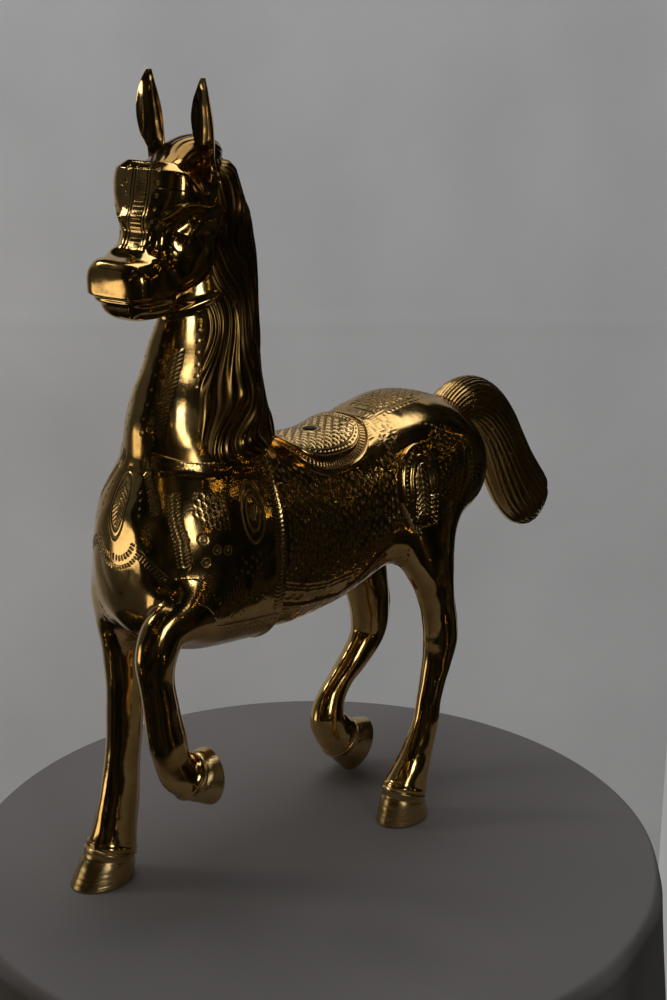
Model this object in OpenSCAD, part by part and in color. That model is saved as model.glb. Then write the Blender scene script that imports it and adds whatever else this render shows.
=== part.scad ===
// A standing brass horse, cast in hollow and solid pieces that are pinned, screwed and brazed together.
// +Z is up, the horse faces -Y, its left side is +X and it stands on z = 0.

/* [Overall] */
// height from the ground to the tip of the right ear
height = 620; // [420:1:900]
// width across the shoulders
body_w = 136; // [90:1:200]
// length from the muzzle to the tip of the tail
body_len = 506; // [330:1:720]

/* [Castings] */
// wall of the hollow castings
wall = 4; // [3:0.5:6]
// length of the lap where the two body castings meet
lap = 12; // [6:1:20]
// how far the front casting stands proud of the barrel at the seam
seam_step = 2.5; // [0.5:0.5:5]
// thickness of the locks of the mane
mane_t = 8; // [4:0.5:12]

/* [Saddle] */
// thickness of the pad under the seat
pad_t = 3; // [1.5:0.5:6]
// thickness of the seat on the pad
seat_t = 4; // [2:0.5:8]
// diameter of the saddle screw
screw_d = 5; // [3:0.5:8]
// diameter of the saddle screw's head
screw_head_d = 9; // [6:0.5:14]

/* [Pins and ornaments] */
// diameter of the pin between a leg and its hoof
pin_d = 6; // [3:0.5:9]
// length of the pin between a leg and its hoof
pin_len = 18; // [8:1:26]
// thickness of the raised hip ornament
ornament_t = 2.5; // [1:0.5:5]
// how far the ears are turned to face each other, in degrees
ear_splay = 15; // [-30:1:40]

/* [Hidden] */

brass = [0.83, 0.65, 0.30];
dark_brass = [0.66, 0.49, 0.20];
steel = [0.35, 0.34, 0.33];

// the horse is drawn at 620 high, 136 wide and 506 long, and these stretch it
sx = body_w / 136;
sy = body_len / 506;
sz = height / 620;
// from the middle of the stance to the middle of the whole horse
shift_y = -101;

// points round a section: the body, the neck and head, a leg
body_n = 32;
neck_n = 24;
leg_n = 16;

// ---- curves and surfaces ----

// Catmull-Rom value between q and r
function blend(p, q, r, s, u) =
    0.5 * (2 * q + (r - p) * u + (2 * p - 5 * q + 4 * r - s) * u * u + (3 * q - p - 3 * r + s) * u * u * u);

// row of the table S at the station t, which need not be whole
function at(S, t) =
    let (i = min(max(floor(t), 0), len(S) - 2), u = t - i)
    blend(S[max(i - 1, 0)], S[i], S[i + 1], S[min(i + 2, len(S) - 1)], u);

// distance from the middle of a rounded oblong of half sizes 1 and exponent n to its edge at the angle a
function edge(a, n) = pow(pow(abs(cos(a)), n) + pow(abs(sin(a)), n), -1 / n);

// the horse's stretch, and its place over the origin
function place(p) = [p[0] * sx, (p[1] + shift_y) * sy, p[2] * sz];

function unit(v) = v / norm(v);

// point p turned about the head's upright line
function turned(p, g) =
    let (q = p - head_pivot)
    head_pivot + [q[0] * cos(g) - q[1] * sin(g), q[0] * sin(g) + q[1] * cos(g), q[2]];

// ring of the trunk: the upright section of the row r, drawn in by off
function trunk_ring(r, off) =
    [for (j = [0:body_n - 1])
        let (a = 360 * j / body_n, m = edge(a, r[4]), zm = (r[1] + r[2]) / 2, b = (r[1] - r[2]) / 2 - off,
            w = (r[3] - off) * (1 + r[5] * m * sin(a)))
        place([w * m * cos(a), r[0], zm - b * m * sin(a)])];

// ring of a limb: section square to its path in the plane of the leg, half width a, half depth b
function limb_ring(S, t, off, count, turn = 0) =
    let (r = at(S, t), e = 0.02, p = at(S, min(t + e, len(S) - 1)), q = at(S, max(t - e, 0)),
        d = unit([0, p[1] - q[1], p[2] - q[2]]), f = [0, d[2], -d[1]])
    [for (j = [0:count - 1])
        let (a = 360 * j / count, m = edge(a, r[5]), w = (r[3] - off) * m * cos(a) * (1 - r[6] * m * sin(a)),
            g = (r[4] - off) * m * sin(a))
        place(turned([r[0] + w, r[1] + f[1] * g, r[2] + f[2] * g], turn))];

// one point: the middle of a limb at t
function limb_mid(S, t, turn = 0) = let (r = at(S, t)) place(turned([r[0], r[1], r[2]], turn));

// one list from a list of lists
function flat(L) = [for (a = L) each a];

// triangles between ring i and the next one, k points a ring
function band(i, k, n2) =
    [for (j = [0:k - 1])
        let (p = i * k + j, q = i * k + (j + 1) % k, up = ((i + 1) % n2) * k - i * k)
        each [[p, q + up, q], [p, p + up, q + up]]];

// solid whose rings close on themselves and on two points at its ends
module loft(rings, first, last) {
    k = len(rings[0]);
    n = len(rings);
    faces = concat(
        [for (i = [0:n - 2]) each band(i, k, n + 1)],
        [for (j = [0:k - 1]) [n * k, j, (j + 1) % k]],
        [for (j = [0:k - 1]) [n * k + 1, (n - 1) * k + (j + 1) % k, (n - 1) * k + j]]);
    polyhedron(points = concat(flat(rings), [first, last]), faces = faces);
}

// open tube whose rings also close from the last ring back to the first
module ring_wall(rings) {
    k = len(rings[0]);
    n = len(rings);
    polyhedron(points = flat(rings), faces = [for (i = [0:n - 1]) each band(i, k, n)]);
}

// plate between two grids of points that have the same rows and columns
module plate(low, high) {
    r = len(low);
    c = len(low[0]);
    m = r * c;
    function id(i, j) = i * c + j;
    top = [for (i = [0:r - 2]) for (j = [0:c - 2])
        let (p = m + id(i, j), q = m + id(i + 1, j + 1))
        each [[p, q, m + id(i, j + 1)], [p, m + id(i + 1, j), q]]];
    bottom = [for (i = [0:r - 2]) for (j = [0:c - 2])
        each [[id(i, j), id(i, j + 1), id(i + 1, j + 1)], [id(i, j), id(i + 1, j + 1), id(i + 1, j)]]];
    rim = concat([for (j = [0:c - 2]) id(0, j)], [for (i = [0:r - 2]) id(i, c - 1)],
        [for (j = [c - 1:-1:1]) id(r - 1, j)], [for (i = [r - 1:-1:1]) id(i, 0)]);
    side = [for (q = [0:len(rim) - 1])
        each let (a = rim[q], b = rim[(q + 1) % len(rim)]) [[a, m + b, b], [a, m + a, m + b]]];
    polyhedron(points = concat(flat(low), flat(high)), faces = concat(top, bottom, side));
}

// ---- the horse's shape, at its drawn size ----

// trunk: y, z top, z bottom, half width, exponent, low-half widening
trunk = [
    [-133, 300, 256, 16, 2.0, 0.00],
    [-128, 322, 232, 34, 2.2, 0.06],
    [-113, 344, 214, 51, 2.4, 0.08],
    [-90, 353, 205, 60, 2.5, 0.06],
    [-62, 356, 201, 62, 2.5, 0.03],
    [-40, 353, 200, 61, 2.5, 0.02],
    [-22, 349, 200, 59, 2.5, 0.01],
    [8, 343, 198, 56, 2.5, 0.01],
    [38, 338, 199, 54, 2.4, 0.02],
    [68, 338, 204, 54, 2.4, 0.02],
    [96, 345, 214, 56, 2.4, 0.00],
    [126, 354, 226, 60, 2.4, -0.02],
    [158, 358, 233, 63, 2.4, -0.02],
    [188, 352, 240, 61, 2.3, -0.02],
    [214, 336, 252, 50, 2.2, 0.00],
    [228, 318, 270, 28, 2.0, 0.00],
    [233, 306, 284, 12, 2.0, 0.00]];
trunk_seam = 6;

// limbs: x, y, z of the path, half width, half depth, exponent, widening of one side
neck_path = [
    [0, -46, 304, 38, 40, 2.2, 0.0],
    [0, -50, 328, 44, 52, 2.2, 0.0],
    [0, -55, 350, 44, 58, 2.2, 0.0],
    [0, -56, 374, 38, 56, 2.2, 0.0],
    [0, -52, 402, 31, 49, 2.1, 0.0],
    [0, -45, 440, 24.5, 41, 2.1, 0.0],
    [0, -41, 474, 21, 35, 2.1, 0.0],
    [0, -41, 504, 19, 30, 2.1, 0.0],
    [0, -45, 528, 17, 23, 2.1, 0.0],
    [0, -50, 548, 15, 18, 2.1, 0.0]];

head_path = [
    [0, -74, 564, 18, 17, 2.2, 0.00],
    [0, -73, 560, 31, 28, 2.6, -0.05],
    [0, -72, 552, 34, 33, 2.8, -0.10],
    [0, -73, 539, 34, 35, 2.8, -0.14],
    [0, -76, 524, 31, 36, 2.8, -0.12],
    [0, -82, 508, 26, 37, 2.6, -0.04],
    [0, -91, 495, 22, 33, 2.5, 0.04],
    [0, -103, 485, 22, 26, 2.6, 0.00],
    [0, -114, 477, 26, 25, 3.2, 0.00],
    [0, -120, 468, 26, 23, 3.2, 0.00],
    [0, -122, 460, 17, 15, 2.4, 0.00]];

fore_right = [
    [-36, -72, 262, 18, 30, 2.2, 0.0],
    [-42, -84, 238, 24, 36, 2.2, 0.0],
    [-45, -89, 212, 22, 28, 2.2, 0.0],
    [-47, -92, 186, 17, 20, 2.1, 0.0],
    [-47, -95, 152, 14, 15.5, 2.1, 0.0],
    [-47, -98, 118, 13.5, 14.5, 2.1, 0.0],
    [-47, -101, 92, 13, 14.5, 2.1, 0.0],
    [-47, -105, 66, 14, 16.5, 2.1, 0.0],
    [-47, -110, 42, 15.5, 18, 2.1, 0.0],
    [-47, -115, 25, 18, 21, 2.1, 0.0]];

fore_left = [
    [36, -62, 250, 17, 24, 2.2, 0.0],
    [42, -86, 248, 18, 24, 2.2, 0.0],
    [47, -110, 246, 16, 19, 2.2, 0.0],
    [47, -127, 238, 14.5, 17, 2.1, 0.0],
    [47, -135, 221, 14, 15.5, 2.1, 0.0],
    [47, -135, 200, 12, 13, 2.1, 0.0],
    [47, -132, 178, 12, 13.5, 2.1, 0.0],
    [47, -128, 156, 13, 14.5, 2.1, 0.0],
    [47, -124, 138, 12.5, 13.5, 2.1, 0.0],
    [47, -118, 125, 14, 15, 2.1, 0.0],
    [47, -110, 119, 16, 17.5, 2.1, 0.0]];

hind_left = [
    [38, 136, 290, 16, 34, 2.2, 0.0],
    [44, 139, 262, 20, 34, 2.2, 0.0],
    [49, 143, 234, 18, 27, 2.2, 0.0],
    [50, 151, 206, 15, 19, 2.1, 0.0],
    [50, 158, 178, 13.5, 16, 2.1, 0.0],
    [50, 161, 152, 13.5, 16, 2.1, 0.0],
    [50, 156, 130, 11.5, 13, 2.1, 0.0],
    [50, 149, 104, 10, 11, 2.1, 0.0],
    [50, 144, 80, 10.5, 12, 2.1, 0.0],
    [49, 136, 57, 12, 14, 2.1, 0.0],
    [48, 128, 39, 14.5, 17, 2.1, 0.0],
    [47, 122, 25, 17, 20, 2.1, 0.0]];

hind_right = [
    [-38, 136, 276, 17, 34, 2.2, 0.0],
    [-45, 146, 244, 20, 33, 2.2, 0.0],
    [-50, 160, 208, 18, 27, 2.2, 0.0],
    [-50, 171, 178, 17, 22, 2.1, 0.0],
    [-50, 177, 150, 16, 20, 2.1, 0.0],
    [-50, 175, 126, 14, 17, 2.1, 0.0],
    [-50, 159, 106, 12, 13, 2.1, 0.0],
    [-50, 142, 91, 11, 11.5, 2.1, 0.0],
    [-50, 130, 76, 12, 13, 2.1, 0.0],
    [-50, 125, 59, 15, 16, 2.1, 0.0],
    [-49, 130, 45, 16, 18, 2.1, 0.0],
    [-49, 138, 35.5, 17, 19, 2.1, 0.0]];

tail_path = [
    [0, 200, 318, 11, 13, 2.0, 0.0],
    [0, 212, 328, 15, 17, 2.0, 0.0],
    [0, 228, 336, 17, 19, 2.0, 0.0],
    [0, 246, 337, 18, 20, 2.0, 0.0],
    [0, 263, 327, 19, 22, 2.0, 0.0],
    [0, 278, 308, 20, 24, 2.0, 0.0],
    [0, 290, 286, 20, 26, 2.0, 0.0],
    [0, 302, 264, 20, 28, 2.0, 0.0],
    [0, 316, 244, 20, 29, 2.0, 0.0],
    [0, 331, 228, 18, 27, 2.0, 0.0],
    [0, 343, 217, 9, 16, 2.0, 0.0]];

forelock_path = [
    [0, -38, 558, 5, 6, 2.0, 0.0],
    [0, -43, 563, 12, 9, 2.0, 0.0],
    [0, -51, 566, 17, 9, 2.0, 0.0],
    [0, -61, 564, 16, 8, 2.0, 0.0],
    [0, -71, 560, 12, 7, 2.0, 0.0],
    [0, -79, 556, 5, 5, 2.0, 0.0]];

// right ear: x, y, z of the middle, half width, half thickness, how far its edges curl forward
ear_path = [
    [-19, -62, 548, 8, 5, 0],
    [-20, -63, 556, 9, 5, 0],
    [-22, -64, 566, 7, 4, 1],
    [-24, -65, 578, 9.5, 3, 3],
    [-25, -66, 592, 10, 2.6, 4],
    [-26, -67, 604, 8, 2.2, 3],
    [-27, -67, 613, 5, 1.8, 1.5],
    [-27, -67, 620, 2, 1.2, 0]];

// the soles of the hooves: x, y, z of the middle, half width, half length, tilt from flat in degrees
sole_fore_right = [-47, -125, 0, 21, 27, 0];
sole_hind_left = [47, 120, 0, 19, 25, 0];
sole_fore_left = [47, -92, 113, 21, 22, 82];
sole_hind_right = [-49, 159, 21.5, 19, 25.35, 58];

// the head's turn to the horse's left, and the upright line it turns about
head_turn = 10;
head_pivot = [0, -42, 0];

// stations the trunk is cut at: the same ones in every piece that lies on it, so the pieces meet face to face
trunk_step = 0.5;
lap_t = trunk_seam + lap / ((trunk[trunk_seam + 1][0] - trunk[trunk_seam][0]) * sy);
front_t = [for (t = [0:trunk_step:trunk_seam]) t];
rear_t = concat([trunk_seam, lap_t], [for (t = [trunk_seam + 1:trunk_step:len(trunk) - 1]) t]);

// how far the front casting swells out over the barrel, growing to the seam
function swell(t) = -seam_step * pow(max(0, (t - 2) / (trunk_seam - 2)), 2);

module front_shell() {
    n = len(front_t);
    loft(concat(
        [for (t = front_t) trunk_ring(at(trunk, t), swell(t))],
        [trunk_ring(at(trunk, trunk_seam), wall), trunk_ring(at(trunk, lap_t), wall)],
        [trunk_ring(at(trunk, lap_t), wall * 1.8)],
        [for (i = [n - 1:-1:2]) trunk_ring(at(trunk, front_t[i]), wall * (i == n - 1 ? 1.8 : 1))]),
        place([0, trunk[0][0] - 1.5, 286]), place([0, at(trunk, front_t[2])[0] - 1, 286]));
}

module front_outer() {
    loft([for (t = front_t) trunk_ring(at(trunk, t), swell(t))],
        place([0, trunk[0][0] - 1.5, 286]), place([0, trunk[trunk_seam][0], 286]));
}

module rear_shell() {
    n = len(rear_t);
    loft(concat(
        [for (i = [n - 3:-1:0]) trunk_ring(at(trunk, rear_t[i]), wall)],
        [for (t = rear_t) trunk_ring(at(trunk, t), 0)]),
        place([0, at(trunk, rear_t[n - 3])[0] + 1, 295]), place([0, trunk[len(trunk) - 1][0] + 1.5, 295]));
}

module limb(S, count, turn = 0) {
    last = len(S) - 1;
    list = [for (t = [0:0.5:last]) t];
    loft([for (t = list) limb_ring(S, t, 0, count, turn)], limb_mid(S, 0, turn), limb_mid(S, last, turn));
}

// a limb that is hollow from its first station to the station to, and open at its first station
module hollow_limb(S, count, to) {
    last = len(S) - 1;
    loft(concat(
        [for (t = [to:-0.5:0]) limb_ring(S, t, wall, count)],
        [for (t = [0:0.5:last]) limb_ring(S, t, 0, count)]),
        limb_mid(S, to), limb_mid(S, last));
}

module trunk_outer() {
    loft([for (t = rear_t) trunk_ring(at(trunk, t), 0)],
        place([0, at(trunk, trunk_seam)[0], 272]), place([0, trunk[len(trunk) - 1][0] + 1.5, 295]));
}

module neck_solid() {
    limb(neck_path, neck_n);
}

module head_solid() {
    limb(head_path, neck_n, head_turn);
}

// the space inside the head, which the neck reaches up into
module head_hollow() {
    loft([for (t = [1.5:0.5:9]) limb_ring(head_path, t, wall, neck_n, head_turn)],
        limb_mid(head_path, 1.4, head_turn), limb_mid(head_path, 9, head_turn));
}

module tail_solid() {
    limb(tail_path, 20);
}

// ring of an ear: a leaf that curls forward at its edges, the left one a mirror image of the right
function ear_ring(r, side) =
    [for (j = [0:15])
        let (a = side * 22.5 * j, g = side * ear_splay, w = r[3] * cos(a),
            d = r[4] * sin(a) - r[5] * cos(a) * cos(a), x = -side * r[0] + w * cos(g) + d * sin(g))
        place(turned([x, r[1] - w * sin(g) + d * cos(g), r[2] - ear_low(side)], head_turn))];

// the left ear stands a little lower than the right
function ear_low(side) = side > 0 ? 5 : 0;

module ear(side) {
    last = len(ear_path) - 1;
    list = [for (t = [0:0.5:last]) side > 0 ? t : last - t];
    rings = [for (t = list) ear_ring(at(ear_path, t), side)];
    ends = [for (i = [list[0], list[len(list) - 1]])
        place(turned([-side * ear_path[i][0], ear_path[i][1], ear_path[i][2] - ear_low(side)], head_turn))];
    loft(rings, ends[0], ends[1]);
}

// the pin between a leg and its hoof, along the leg's last stretch
module hoof_pin(S) {
    last = len(S) - 1;
    mid = limb_mid(S, last);
    d = unit(mid - limb_mid(S, last - 0.1));
    translate(mid - d * pin_len / 2)
    rotate([0, acos(d[2]), atan2(d[1], d[0])])
    cylinder(h = pin_len, d = pin_d, $fn = 32);
}

// a leg, hollow in its thick upper half and bored for the pin of its hoof
module leg(S) {
    color(brass)
    difference() {
        hollow_limb(S, leg_n, len(S) * 0.4);
        hoof_pin(S);
    }
}

// ring of a hoof's sole: an oval, tilted about the horse's X
function sole_ring(r, grow) =
    [for (j = [0:leg_n - 1])
        let (a = 360 * j / leg_n, w = r[3] * grow * cos(a), l = r[4] * grow * sin(a))
        place([r[0] + w, r[1] - l * cos(r[5]), r[2] - l * sin(r[5])])];

// a hoof from the leg's last ring, over a ridge, to its sole
module hoof(S, r) {
    top = limb_ring(S, len(S) - 1, 0, leg_n);
    ridge = limb_ring(S, len(S) - 1, -1.4, leg_n);
    sole = sole_ring(r, 1);
    c = place([r[0], r[1], r[2]]);
    color(dark_brass)
    difference() {
        loft([top, [for (j = [0:leg_n - 1]) ridge[j] * 0.93 + sole[j] * 0.07],
            [for (j = [0:leg_n - 1]) ridge[j] * 0.8 + sole[j] * 0.2],
            [for (j = [0:leg_n - 1]) top[j] * 0.55 + sole[j] * 0.45], sole], limb_mid(S, len(S) - 1), c);
        hoof_pin(S);
    }
}

// grid of points on the trunk between the stations t0 and t1, half_angle each side of its top or about mid
function trunk_patch(t0, t1, mid, half_angle, point, off, rows, cols) =
    [for (i = [0:rows])
        let (u = i / rows, h = half_angle * pow(max(0, 1 - pow(abs(2 * u - 1 + point), 3)), 0.5) + 2,
            r = at(trunk, t0 + (t1 - t0) * u))
        [for (j = [0:cols])
            let (a = mid - h * (2 * j / cols - 1), m = edge(a, r[4]), zm = (r[1] + r[2]) / 2,
                b = (r[1] - r[2]) / 2 - off, w = (r[3] - off) * (1 - r[5] * m * sin(a)))
            place([w * m * cos(a), r[0], zm + b * m * sin(a)])]];

// a raised plate on the trunk, its under side let into the skin so that a cut leaves the two face to face
module trunk_plate(t0, t1, mid, half_angle, point, low, high, rows = 10, cols = 12) {
    plate(trunk_patch(t0, t1, mid, half_angle, point, -low, rows, cols),
        trunk_patch(t0 + 0.1, t1 - 0.1, mid, half_angle * 0.94, point, -high, rows, cols));
}

module pad_plate() {
    trunk_plate(6.9, 10.1, 90, 47, 0, -1, pad_t);
}

module seat_plate() {
    trunk_plate(7.1, 9.9, 90, 38, 0, pad_t / 2, pad_t + seat_t);
}

// the saddle screw stands where the seat is deepest
saddle_row = at(trunk, 8.67);
saddle_pos = place([0, saddle_row[0], saddle_row[1]]);
saddle_top = saddle_pos[2] + (pad_t + seat_t) * sz;
// inside of the casting under the saddle, and the height of the nut there
saddle_in = saddle_pos[2] - wall * sz;
nut_h = 4;

module saddle_shank(d) {
    translate([0, saddle_pos[1], saddle_in - 20])
    cylinder(h = saddle_top + 20.5 - saddle_in, d = d, $fn = 48);
}

module saddle_recess() {
    translate([0, saddle_pos[1], saddle_top - 1.5])
    cylinder(h = 20, d = screw_head_d, $fn = 48);
}

// ---- the pieces ----

module front_body() {
    color(brass)
    difference() {
        front_shell();
        neck_solid();
        limb(fore_left, leg_n);
        limb(fore_right, leg_n);
    }
}

module rear_body() {
    color(brass)
    difference() {
        rear_shell();
        neck_solid();
        limb(hind_left, leg_n);
        limb(hind_right, leg_n);
        tail_solid();
        saddle_shank(screw_d);
    }
}

module neck() {
    color(brass)
    hollow_limb(neck_path, neck_n, len(neck_path) - 2);
}

module head() {
    color(brass)
    difference() {
        head_solid();
        head_hollow();
        neck_solid();
        ear(1);
        ear(-1);
    }
}

// the tuft between the ears, resting on the head
module forelock() {
    color(dark_brass)
    difference() {
        limb(forelock_path, leg_n, head_turn);
        head_solid();
        ear(1);
        ear(-1);
        neck_solid();
    }
}

module ear_left() {
    color(brass)
    ear(1);
}

module ear_right() {
    color(brass)
    ear(-1);
}

// locks down the left side of the neck, in S-shaped ridges
function mane_grid(high) =
    [for (i = [0:18])
        let (t = 1.4 + 7.5 * i / 18, r = at(neck_path, t),
            p = at(neck_path, t + 0.02), q = at(neck_path, t - 0.02),
            d = unit([0, p[1] - q[1], p[2] - q[2]]), f = [0, d[2], -d[1]])
        [for (j = [0:12])
            let (u = j / 12, a = -28 + 128 * u, m = edge(a, r[5]), fade = sin(180 * max(0.04, min(u, 0.96))),
                lock = 0.62 + 0.38 * cos(3 * 360 * u + 150 * sin(28 * i)),
                o = high ? mane_t * (0.12 + 0.88 * pow(fade, 0.6) * lock) : -1.5,
                w = (r[3] + o) * m * cos(a), g = (r[4] + o) * m * sin(a))
            place([r[0] + w, r[1] + f[1] * g, r[2] + f[2] * g])]];

module mane() {
    color(dark_brass)
    difference() {
        plate(mane_grid(false), mane_grid(true));
        neck_solid();
        head_solid();
        front_outer();
        trunk_outer();
        forelock();
    }
}

module foreleg_left() {
    leg(fore_left);
}

module foreleg_right() {
    leg(fore_right);
}

module hindleg_left() {
    leg(hind_left);
}

module hindleg_right() {
    leg(hind_right);
}

module hoof_fore_left() {
    hoof(fore_left, sole_fore_left);
}

module hoof_fore_right() {
    hoof(fore_right, sole_fore_right);
}

module hoof_hind_left() {
    hoof(hind_left, sole_hind_left);
}

module hoof_hind_right() {
    hoof(hind_right, sole_hind_right);
}

module hoof_pins() {
    color(steel)
    for (S = [fore_left, fore_right, hind_left, hind_right])
        hoof_pin(S);
}

module tail() {
    color(dark_brass)
    hollow_limb(tail_path, 20, len(tail_path) - 3);
}

module saddle_pad() {
    color(brass)
    difference() {
        pad_plate();
        trunk_outer();
        front_outer();
        saddle_shank(screw_d);
    }
}

module saddle_seat() {
    color(brass)
    difference() {
        seat_plate();
        pad_plate();
        saddle_shank(screw_d);
        saddle_recess();
    }
}

module saddle_screw() {
    color(steel)
    union() {
        translate([0, saddle_pos[1], saddle_in - nut_h - 3])
        cylinder(h = saddle_top - saddle_in + nut_h + 3, d = screw_d, $fn = 48);
        translate([0, saddle_pos[1], saddle_top - 1.5])
        cylinder(h = 2.5, d = screw_head_d, $fn = 48);
    }
}

module saddle_nut() {
    color(steel)
    translate([0, saddle_pos[1], saddle_in - nut_h - 0.5])
    difference() {
        cylinder(h = nut_h, d = screw_d * 2, $fn = 6);
        translate([0, 0, -1])
        cylinder(h = nut_h + 2, d = screw_d, $fn = 48);
    }
}

// the hip ornament: a raised tassel hung over the thigh
module hip_plate(mid) {
    trunk_plate(10.15, 11.4, mid, 33, 0, -1, ornament_t, 8, 10);
}

module hip_ornament_left() {
    color(brass)
    difference() {
        hip_plate(3);
        trunk_outer();
        limb(hind_left, leg_n);
    }
}

module hip_ornament_right() {
    color(brass)
    difference() {
        hip_plate(177);
        trunk_outer();
        limb(hind_right, leg_n);
    }
}

front_body();
rear_body();
neck();
head();
forelock();
ear_left();
ear_right();
mane();
foreleg_left();
foreleg_right();
hindleg_left();
hindleg_right();
hoof_fore_left();
hoof_fore_right();
hoof_hind_left();
hoof_hind_right();
hoof_pins();
tail();
saddle_pad();
saddle_seat();
saddle_screw();
saddle_nut();
hip_ornament_left();
hip_ornament_right();
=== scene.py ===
import bpy
import math
import numpy as np
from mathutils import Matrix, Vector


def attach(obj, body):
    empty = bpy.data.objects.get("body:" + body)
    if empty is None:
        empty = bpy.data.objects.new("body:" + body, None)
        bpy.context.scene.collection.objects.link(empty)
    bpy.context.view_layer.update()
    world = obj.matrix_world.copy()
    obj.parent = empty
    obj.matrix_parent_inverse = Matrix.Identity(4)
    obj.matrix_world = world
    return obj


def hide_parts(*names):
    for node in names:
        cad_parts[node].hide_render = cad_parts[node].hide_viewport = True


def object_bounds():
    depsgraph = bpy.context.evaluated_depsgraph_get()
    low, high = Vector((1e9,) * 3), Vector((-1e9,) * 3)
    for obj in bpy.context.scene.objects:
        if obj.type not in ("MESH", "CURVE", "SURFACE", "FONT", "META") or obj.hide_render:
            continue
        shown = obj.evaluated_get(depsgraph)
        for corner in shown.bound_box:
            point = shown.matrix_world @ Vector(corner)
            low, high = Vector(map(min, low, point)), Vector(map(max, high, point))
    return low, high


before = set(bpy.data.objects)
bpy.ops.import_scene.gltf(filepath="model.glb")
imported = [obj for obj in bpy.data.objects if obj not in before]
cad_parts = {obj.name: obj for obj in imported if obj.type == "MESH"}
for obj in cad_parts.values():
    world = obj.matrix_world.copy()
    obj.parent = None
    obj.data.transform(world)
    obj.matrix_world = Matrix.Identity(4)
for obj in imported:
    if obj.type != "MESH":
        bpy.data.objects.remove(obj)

# A walking horse in cast brass, buffed and chased by hand, on a round table under a plain cloth.
# The castings are surfaces worked out on grids, from the same stations as its solids.

cadLow, cadHigh = [list(corner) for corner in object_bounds()]
drawnSize = np.array([136.0, 506.0, 620.0])  # the stations below are drawn at this size, in millimetres
drawnShift = np.array([0.0, -101.0, 0.0])    # from the middle of the stance to the middle of the whole horse
stretch = (np.array(cadHigh) - np.array(cadLow)) / drawnSize
placeShift = np.array([(cadHigh[0] + cadLow[0]) / 2, (cadHigh[1] + cadLow[1]) / 2, cadLow[2]])


cameraLook = {
    "lens": 57.6,                       # millimetres on a 36 mm sensor
    "place": (0.8897, -0.8714, 0.6639),  # metres, in front of the near shoulder at ear height
    "heading": 46.16,                   # degrees from straight ahead of the horse towards its side
    "pitch": 17.3,                      # degrees downwards
}


def addObject(name, data):
    # an object that shows the given mesh, light or camera, put in the scene
    made = bpy.data.objects.new(name, data)
    bpy.context.scene.collection.objects.link(made)
    return made


def addCamera(look):
    # looks level along the heading, then tips down by the pitch
    data = bpy.data.cameras.new("viewCamera")
    data.lens = look["lens"]
    data.sensor_width = 36.0
    data.clip_end = 30.0
    camera = addObject("viewCamera", data)
    camera.location = look["place"]
    camera.rotation_euler = (math.radians(90 - look["pitch"]), 0.0, math.radians(look["heading"]))
    bpy.context.scene.camera = camera


addCamera(cameraLook)
print("camera set")


def stationRow(table, t):
    # Catmull-Rom through the rows of the table; t may be an array
    table = np.asarray(table, float)
    t = np.asarray(t, float)
    last = len(table) - 1
    i = np.clip(np.floor(t).astype(int), 0, last - 1)
    u = (t - i)[..., None]
    p, q, r, s = (table[np.clip(i + k, 0, last)] for k in (-1, 0, 1, 2))
    return 0.5 * (2 * q + (r - p) * u + (2 * p - 5 * q + 4 * r - s) * u**2 + (3 * q - p - 3 * r + s) * u**3)


def edgeOf(a, n):
    # how far the edge of a rounded oblong of exponent n is from its middle, along the angle a
    return (np.abs(np.cos(a))**n + np.abs(np.sin(a))**n)**(-1.0 / n)


def smoothStep(x, low, high):
    # 0 below low, 1 above high, an S between
    u = np.clip((x - low) / (high - low), 0, 1)
    return u * u * (3 - 2 * u)


def softUnion(a, b, k):
    # the smaller of two distances, rounded over a width k where they cross
    h = np.clip(0.5 + 0.5 * (b - a) / k, 0, 1)
    return b + (a - b) * h - k * h * (1 - h)


def noiseField(p, scale, seed):
    # soft lumps: a few sine waves of mixed directions added up, about -1 to 1
    rng = np.random.RandomState(seed)
    total = np.zeros(p.shape[:-1])
    for k in range(7):
        d = rng.normal(size=3)
        d *= (2 * math.pi / scale) * (0.7 + 0.6 * rng.rand()) / np.linalg.norm(d)
        total += np.sin(p @ d + rng.rand() * 6.28)
    return total / 4


# trunk: y, z top, z bottom, half width, exponent, low-half widening
trunkTable = [
    [-133, 300, 256, 16, 2.0, 0.00], [-128, 322, 232, 34, 2.2, 0.06], [-113, 344, 214, 51, 2.4, 0.08],
    [-90, 353, 205, 60, 2.5, 0.06], [-62, 356, 201, 62, 2.5, 0.03], [-40, 353, 200, 61, 2.5, 0.02],
    [-22, 349, 200, 59, 2.5, 0.01], [8, 343, 198, 56, 2.5, 0.01], [38, 338, 199, 54, 2.4, 0.02],
    [68, 338, 204, 54, 2.4, 0.02], [96, 345, 214, 56, 2.4, 0.00], [126, 354, 226, 60, 2.4, -0.02],
    [158, 358, 233, 63, 2.4, -0.02], [188, 352, 240, 61, 2.3, -0.02], [214, 336, 252, 50, 2.2, 0.00],
    [228, 318, 270, 28, 2.0, 0.00], [233, 306, 284, 12, 2.0, 0.00]]
seamStation = 6.0


def limbRows(squarer, first, rest, rows):
    # x, y, z of the path, half width and half depth, to which this adds the exponent, which has one value
    # for the first few rows and another for the rest, and no widening of one side
    return [row + [first if k < squarer else rest, 0.0] for k, row in enumerate(rows)]


neckTable = limbRows(4, 2.2, 2.1, [
    [0, -46, 304, 38, 40], [0, -50, 328, 44, 52], [0, -55, 350, 44, 58], [0, -56, 374, 38, 56],
    [0, -52, 402, 31, 49], [0, -45, 440, 24.5, 41], [0, -41, 474, 21, 35], [0, -41, 504, 19, 30],
    [0, -45, 528, 17, 23], [0, -50, 548, 15, 18]])

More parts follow.
